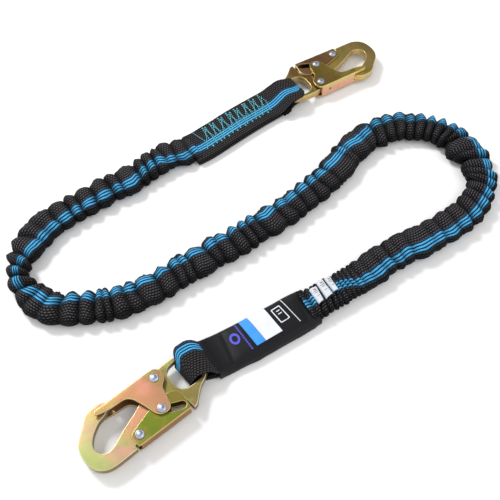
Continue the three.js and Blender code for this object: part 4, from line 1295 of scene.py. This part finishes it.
# ------------------------------------------------------------------ elastic core
def cord(part, start, end, body, half_width=5.6, half_height=2.3, heights=((0, 9.0),)):
    """Fluted flat cord inside the jacket; heights are (station, z) of its middle."""
    count, around = int((end - start) / 2.2), 20
    angles = np.arange(around) / around * 2 * math.pi
    station, angle = np.meshgrid(np.linspace(start, end, count), angles, indexing="ij")
    size = 1 + 0.07 * np.cos(angle * 10 + station / 3.0)
    to_end = np.minimum(station - start + 0.6, end - station + 0.6)
    size = size * np.sqrt(np.clip(to_end / 3.0, 0.1, 1))
    laid = lay(station, half_width * np.cos(angle) * size,
               lookup(heights, station) + half_height * np.sin(angle) * size)
    made = make(f"core_band_{part}", laid.reshape(-1, 3), tube_faces(count, around, flip=True),
                CORE)
    bind(made, body, f"core_{part}")


cord("end_a", 141, 179, "end_a", heights=[(0, 7.6)])
cord("right", 198, 462, "web_right")
cord("mid", 494, 984, "web_mid", half_width=5.4)
cord("left", 1022, 1232, "web_left", half_width=5.2,
     heights=[(1022, 9.2), (1222, 8.6), (1232, 7.0)])
cord("end_b", 1255, 1290, "end_b", half_width=12, half_height=0.7, heights=[(0, 4.2)])


# ------------------------------------------------------------------ sewing
def stitch(start, direction, length, z, radius):
    """One short arched thread from `start`, as vertices (station, side, z) and faces."""
    # fraction of the length, share of the radius
    profile = [(0.0, 0.25), (0.12, 0.85), (0.35, 1.0), (0.65, 1.0), (0.88, 0.85), (1.0, 0.25)]
    around = 6
    normal = np.array([-direction[1], direction[0]])
    verts = []
    for fraction, share in profile:
        centre = start + direction * length * fraction
        arch = 0.22 * math.sin(math.pi * fraction)
        for j in range(around):
            angle = j / around * 2 * math.pi
            x, y = centre + normal * radius * share * math.cos(angle)
            verts.append((x, y, z + arch + radius * share * math.sin(angle)))
    return np.array(verts), tube_faces(len(profile), around, flip=True)


def zigzag(letter, rows, z, radius, length, gap):
    """Proud stitches along rows of (station, side) corners."""
    parts = []
    for row in rows:
        row = np.array(row, float)
        for start, end in zip(row[:-1], row[1:]):
            span = np.linalg.norm(end - start)
            count = max(1, int(round(span / (length + gap))))
            direction = (end - start) / span
            for i in range(count):
                first = start + direction * (span / count * i + gap / 2)
                parts.append(stitch(first, direction, span / count - gap, z, radius))
    verts, faces = merge(parts)
    made = make(f"zigzag_sewing_{letter}", lay(*verts.T), faces, THREAD)
    bind(made, f"end_{letter}", f"loop_stitching_{letter}")


def sew_b():
    """Two crossing zigzag rows with uneven corners."""
    peaks = [1262.5, 1275, 1286.5, 1298, 1309.5, 1320.5, 1331.5, 1342.5, 1355]
    first, second = [], []
    for i, peak in enumerate(peaks):
        jog, drift = 0.7 * math.sin(i * 2.3), 0.8 * math.cos(i * 1.7)
        first += [(peak + jog, 18.6 + 0.5 * drift), (peak + 5.4 + drift, -12.4)]
        second += [(peak + 4.3 + drift, 17.0 + 0.6 * jog),
                   (peak - 1.2 + jog, -11.2 + 0.4 * drift)]
    zigzag("b", [first, second[1:]], z=8.18, radius=0.43, length=2.3, gap=0.75)


sew_b()
zigzag("a", [[(50 + 5.5 * i, 15.0 if i % 2 else -15.0) for i in range(14)]],
       z=7.78, radius=0.36, length=2.4, gap=0.7)

# ------------------------------------------------------------------ label cover
COVER_START, COVER_END = 26.5, 139.5
COVER_HALF, COVER_TOP = 20.6, 12.3
COVER_WALL = 1.1
# by station: squareness of the crown, and shares of the full height and width
COVER_SQUARENESS = [(26, 20), (34, 14), (46, 6)]
COVER_HEIGHT = [(26, 1.11), (28, 1.03), (29.5, .97), (32, .91), (35, .87), (40, .83), (46, .83),
                (54, .91), (66, .98), (118, .98), (130, .97), (140, .90)]
COVER_WIDTH = [(26, .99), (34, .99), (50, 1), (122, 1), (132, .985), (140, .95)]


def cover_top(station, side):
    """Height of the cover's upper face, with soft folds."""
    out = np.clip(np.abs(side) / COVER_HALF, 0, 1)
    crown = (1 - out ** lookup(COVER_SQUARENESS, station)) ** 0.5
    crown = COVER_TOP * crown * 0.5 + COVER_TOP * 0.5
    folds = (-0.9 * np.exp(-((station - 47.5 - 0.10 * side) / 1.7) ** 2)
             * (0.4 + 0.6 * smooth(-22, 12, side))
             - 0.7 * np.exp(-((station - 121 + 0.22 * side) / 2.2) ** 2) * smooth(-4, -20, side)
             - 0.5 * np.exp(-((station - 131 - 0.35 * side) / 1.8) ** 2))
    waves = 0.42 * noise(station / 26, side / 15, 71) + 0.20 * noise(station / 9, side / 7, 72)
    return crown * lookup(COVER_HEIGHT, station) + (folds + waves) * (1 - out**4)


def cover_skin(station, angle, narrower, lower, higher):
    """One skin of the sleeve, narrowed and moved in from the top and the bottom."""
    cos, sin = np.cos(angle), np.sin(angle)
    width = (20.9 - narrower) * lookup(COVER_WIDTH, station)
    width = width + 0.35 * noise(station / 14, np.sign(cos) * 2.0, 75)
    width = width + 0.16 * noise(station / 4.5, np.sign(cos) * 3, 76)
    y = width * signed_power(cos, 0.30)
    top = cover_top(station, np.clip(y, -COVER_HALF, COVER_HALF)) - lower
    bottom = 0.2 + higher + 0.1 * (noise(station / 11, y / 9, 77) + 1)
    z = (top + bottom) / 2 + (top - bottom) / 2 * signed_power(sin, 0.34)
    return lay(station, y, z).reshape(-1, 3)


def build_cover():
    """Open-ended sleeve with an outer and an inner skin."""
    count, around = 98, 72
    station, angle = np.meshgrid(np.linspace(COVER_START, COVER_END, count),
                                 (np.arange(around) + 0.5) / around * 2 * math.pi,
                                 indexing="ij")
    outer = cover_skin(station, angle, narrower=0, lower=0, higher=0)
    inner = cover_skin(station, angle, narrower=COVER_WALL, lower=1.0, higher=0.8)
    total = count * around
    faces = tube_faces(count, around, caps=False, flip=True)
    faces += tube_faces(count, around, start=total, caps=False)
    for row in (0, (count - 1) * around):
        for j in range(around):
            low, high = row + j, row + (j + 1) % around
            quad = (low, high, total + high, total + low)
            faces.append(quad[::-1] if row else quad)
    made = make("label_cover_sleeve", np.concatenate([outer, inner]), faces, COVER)
    bind(made, "end_a", "label_cover")


build_cover()


# ------------------------------------------------------------------ prints on the cover
def patch(corners, proud, step):
    """Thin raised print on the cover; corners (station, side) in order round the field."""
    corners = np.array(corners, float)

    def points_along(first, second):
        longest = max(np.linalg.norm(first), np.linalg.norm(second))
        return np.linspace(0, 1, max(2, int(longest / step) + 1))

    u, v = np.meshgrid(points_along(corners[1] - corners[0], corners[2] - corners[3]),
                       points_along(corners[3] - corners[0], corners[2] - corners[1]),
                       indexing="ij")
    station, side = bilinear(corners, u, v)
    z = cover_top(station, side)
    return sheet(lay(station, side, z + proud), lay(station, side, z - 0.25))


def panel(*corners):
    return patch(corners, proud=0.32, step=1.0)


def bar(start, end, width):
    start, end = np.array(start, float), np.array(end, float)
    direction = unit(end - start)
    across = np.array([-direction[1], direction[0]]) * width / 2
    return patch([start + across, end + across, end - across, start - across],
                 proud=0.3, step=1.5)


def prints(name, patches, material):
    made = make(name, *merge(patches), material, smooth_shade=False)
    bind(made, "end_a")


def frame_mark():
    """Plain frame holding two bars, and a long line beside it."""
    corners = [(101.2, 12.4), (110.6, 13.0), (112.2, -2.6), (102.8, -3.2)]
    frame = [bar(corners[i], corners[(i + 1) % 4], 1.0) for i in range(4)]
    return frame + [bar((104.6, 8.8), (108.6, 9.1), 0.9), bar((105.0, 5.6), (109.0, 5.9), 0.9),
                    bar((115.6, 17.5), (118.6, -11.5), 0.7)]


def dash_rule():
    dashes = []
    for y in np.arange(17, -12, -2.5):
        x = 63.6 + 0.085 * (17 - y)
        dashes.append(bar((x, y), (x + 0.2, y - 1.7), 1.5))
    return dashes


def ring_mark(pieces=28, outer=6.0, inner=3.4):
    def point(i, radius):
        angle = i / pieces * 2 * math.pi
        return (56.8 + radius * 0.82 * math.cos(angle), 4.6 + radius * math.sin(angle))

    return [patch([point(i, outer), point(i + 1, outer), point(i + 1, inner), point(i, inner)],
                  proud=0.3, step=1.2) for i in range(pieces)]


prints("cover_white_panel",
       [panel((78.2, 18.6), (96.5, 18.9), (99.0, -11.0), (80.8, -11.4))], WHITE_INK)
prints("cover_blue_panel",
       [panel((68.4, 18.5), (77.9, 18.6), (80.5, -11.4), (71.0, -11.6))], BLUE_INK)
prints("cover_frame_mark", frame_mark(), WHITE_INK)
prints("cover_dash_rule", dash_rule(), INDIGO_INK)
prints("cover_ring_mark", ring_mark(), INDIGO_INK)

# ------------------------------------------------------------------ folded inspection tag
# (station, side) corners of the three printed faces
TAG_PANELS = [[(143.0, 10.5), (151.8, 9.7), (149.6, -5.5), (143.2, -6.9)],
              [(153.4, 14.0), (161.6, 13.2), (161.2, -4.2), (152.2, -5.8)],
              [(163.0, 13.4), (169.8, 12.4), (168.6, -3.6), (162.6, -3.0)]]
TAG_HALF = 0.30
TAG_TOP, TAG_CREST, TAG_VALLEY = 18.5, 2.6, 4.6
PANEL_ROWS, VALLEY_ROWS, TAG_COLUMNS = 19, 5, 22
# start and end as fractions of a panel, width
TAG_STROKES = [((0.2, 0.30), (0.8, 0.26), 0.5), ((0.25, 0.40), (0.75, 0.37), 0.4),
               ((0.3, 0.62), (0.72, 0.60), 0.35), ((0.34, 0.12), (0.66, 0.20), 0.5),
               ((0.66, 0.12), (0.34, 0.20), 0.4)]


def tag_height(relief, x, y):
    """Middle of the tag, which droops towards its left edge."""
    droop = 2.2 * np.clip((y - 12) / 11, 0, 1) ** 2
    return TAG_TOP - TAG_CREST + relief - droop + 0.12 * noise(x / 5, y / 5, 81)


def crest(u):
    return TAG_CREST * (1 - np.abs(2 * u - 1) ** 4.5)


def tag_strip():
    """One strip with three printed faces, folded down between the pleats."""
    across = np.linspace(0, 1, TAG_COLUMNS)
    panel_u, v = np.meshgrid(np.linspace(0, 1, PANEL_ROWS), across, indexing="ij")
    inner_rows = np.linspace(0, 1, VALLEY_ROWS + 2)[1:-1]
    valley_u, valley_v = np.meshgrid(inner_rows, across, indexing="ij")
    grids = []
    for i, corners in enumerate(TAG_PANELS):
        x, y = bilinear(corners, panel_u, v)
        grids.append((x, y, tag_height(crest(panel_u), x, y)))
        if i < 2:
            following = TAG_PANELS[i + 1]
            between = [corners[1], following[0], following[3], corners[2]]
            x, y = bilinear(between, valley_u, valley_v)
            depth = TAG_VALLEY * np.sin(valley_u * math.pi)
            grids.append((x, y, tag_height(-depth, x, y)))
    x, y, z = (np.concatenate(parts) for parts in zip(*grids))
    verts, faces = sheet(lay(x, y, z + TAG_HALF), lay(x, y, z - TAG_HALF))
    made = make("inspection_tag_strip", verts, faces, TAG_STOCK)
    # the valley faces take painted shade
    made.data.materials.append(TAG_FOLD_SHADE)
    valley_starts = (PANEL_ROWS, 2 * PANEL_ROWS + VALLEY_ROWS)
    for polygon in made.data.polygons:
        rows = [vert % x.size // TAG_COLUMNS for vert in polygon.vertices]
        if any(start - 1 <= min(rows) and max(rows) <= start + VALLEY_ROWS
               for start in valley_starts):
            polygon.material_index = 1
    bind(made, "end_a", "inspection_tag")


def tag_stroke(corners, start, end, width, count=8):
    """Thin printed bar on one face of the tag."""
    fraction = np.linspace(0, 1, count)
    u, v = (start[axis] + (end[axis] - start[axis]) * fraction for axis in (0, 1))
    x, y = bilinear(corners, u, v)
    z = tag_height(crest(u), x, y) + TAG_HALF
    along_x, along_y = unit(np.array([x[-1] - x[0], y[-1] - y[0]]))
    verts = []
    for i in range(count):
        for half in (width / 2, -width / 2):
            edge = (x[i] - along_y * half, y[i] + along_x * half)
            verts += [(*edge, z[i] + 0.12), (*edge, z[i] - 0.18)]
    faces = []
    for a in range(0, 4 * (count - 1), 4):
        b = a + 4
        faces += [(a, b, b + 2, a + 2), (a + 1, a + 3, b + 3, b + 1),
                  (a, a + 1, b + 1, b), (a + 2, b + 2, b + 3, a + 3)]
    last = 4 * (count - 1)
    faces += [(0, 2, 3, 1), (last, last + 1, last + 3, last + 2)]
    return np.array(verts), faces


def tag_grid():
    verts, faces = merge([tag_stroke(corners, *stroke) for corners in TAG_PANELS
                          for stroke in TAG_STROKES])
    made = make("inspection_tag_grid", lay(*verts.T), faces, TAG_INK, smooth_shade=False)
    bind(made, "end_a")


tag_strip()
tag_grid()

# ------------------------------------------------------------------ springs
COIL_RADIUS, COIL_Z, WIRE_RADIUS = 4.1, 5.0, 0.42


def gate_spring():
    """Straight leg running into most of a turn round the gate pivot."""
    start = 270 * DEGREE
    foot_x = GATE_PIVOT[0] + COIL_RADIUS * math.cos(start)
    foot_y = GATE_PIVOT[1] + COIL_RADIUS * math.sin(start)
    path = [(foot_x + math.sin(start) * k, foot_y - math.cos(start) * k, COIL_Z)
            for k in np.linspace(11, 0.5, 14)]
    for i, angle in enumerate(np.linspace(start, start + 300 * DEGREE, 60)):
        path.append((GATE_PIVOT[0] + COIL_RADIUS * math.cos(angle),
                     GATE_PIVOT[1] + COIL_RADIUS * math.sin(angle), COIL_Z + 0.4 * i / 59))
    path = np.array(path)
    around = 10
    verts = []
    for centre, heading in zip(path, tangents(path)):
        across = unit(np.cross(heading, (0, 0, 1.0)))
        upward = np.cross(across, heading)
        for j in range(around):
            angle = j / around * 2 * math.pi
            spoke = across * math.cos(angle) + upward * math.sin(angle)
            verts.append(centre + WIRE_RADIUS * spoke)
    return solid(verts, tube_faces(len(path), around))


for letter in HOOKS:
    place(letter, "gate_spring", gate_spring(), SPRING_STEEL)
    place(letter, "lever_spring", slab(LEAF_OUTLINE, [], -3, 3, 0.12, 1), SPRING_STEEL)


# ------------------------------------------------------------------ label pages
def label_pages():
    """Three leaves inside the cover."""
    leaves = []
    for k in range(3):
        x, y = np.meshgrid(np.linspace(55 + k, 124 - 2 * k, 40),
                           np.linspace(-13.5 + 0.4 * k, 13.5, 14), indexing="ij")
        z = 8.7 + 0.42 * k + 0.08 * noise(x / 15, y / 9, 95 + k)
        leaves.append(sheet(lay(x, y, z + 0.13), lay(x, y, z - 0.13)))
    made = make("label_page_leaves", *merge(leaves), TAG_STOCK)
    bind(made, "end_a", "label_pages")


label_pages()


# ------------------------------------------------------------------ floor, light, camera
def build_floor():
    mesh = raw_mesh("floor", [(-6, -6, 0), (6, -6, 0), (6, 6, 0), (-6, 6, 0)], [(0, 1, 2, 3)])
    floor = bpy.data.objects.new("floor", mesh)
    scene.collection.objects.link(floor)
    mesh.materials.append(Shader("floor").surface({
        "Base Color": (0.93, 0.93, 0.93), "Roughness": 0.9, "Specular IOR Level": 0.1}))


def build_world():
    """White surroundings with a darker patch high up towards +y."""
    world = bpy.data.worlds.new("studio")
    scene.world = world
    world.use_nodes = True
    nodes, links = world.node_tree.nodes, world.node_tree.links
    background = nodes["Background"]
    coords = nodes.new("ShaderNodeTexCoord")
    facing = nodes.new("ShaderNodeVectorMath")
    facing.operation = "DOT_PRODUCT"
    links.new(coords.outputs["Generated"], facing.inputs[0])
    facing.inputs[1].default_value = Vector((0.10, 0.62, 0.80)).normalized()
    shade = nodes.new("ShaderNodeMapRange")
    shade.interpolation_type = "SMOOTHSTEP"
    links.new(facing.outputs["Value"], shade.inputs[0])
    # from the patch's rim to its middle, brightness falls from 1 to 0.34
    for index, value in enumerate((0.72, 0.98, 1.0, 0.34), start=1):
        shade.inputs[index].default_value = value
    links.new(shade.outputs[0], background.inputs[0])
    background.inputs[1].default_value = 0.92


def area_light(name, location, size, power):
    """Square light aimed at the origin."""
    data = bpy.data.lights.new(name, "AREA")
    data.energy, data.size = power, size
    light = bpy.data.objects.new(name, data)
    light.location = location
    light.rotation_euler = (-Vector(location)).to_track_quat("-Z", "Y").to_euler()
    scene.collection.objects.link(light)


def build_camera():
    data = bpy.data.cameras.new("camera")
    data.lens, data.sensor_width = 54, 36
    camera = bpy.data.objects.new("camera", data)
    camera.location = tuple(CAMERA_AT / 1000)
    camera.rotation_euler = (34 * DEGREE, 0, 0)
    scene.collection.objects.link(camera)
    scene.camera = camera


build_floor()
build_world()
area_light("key", (-1.1, 0.9, 1.5), size=0.5, power=30)
area_light("fill", (1.4, -0.6, 1.5), size=1.4, power=7)
build_camera()
scene.view_settings.view_transform = "Standard"

bpy.context.view_layer.update()
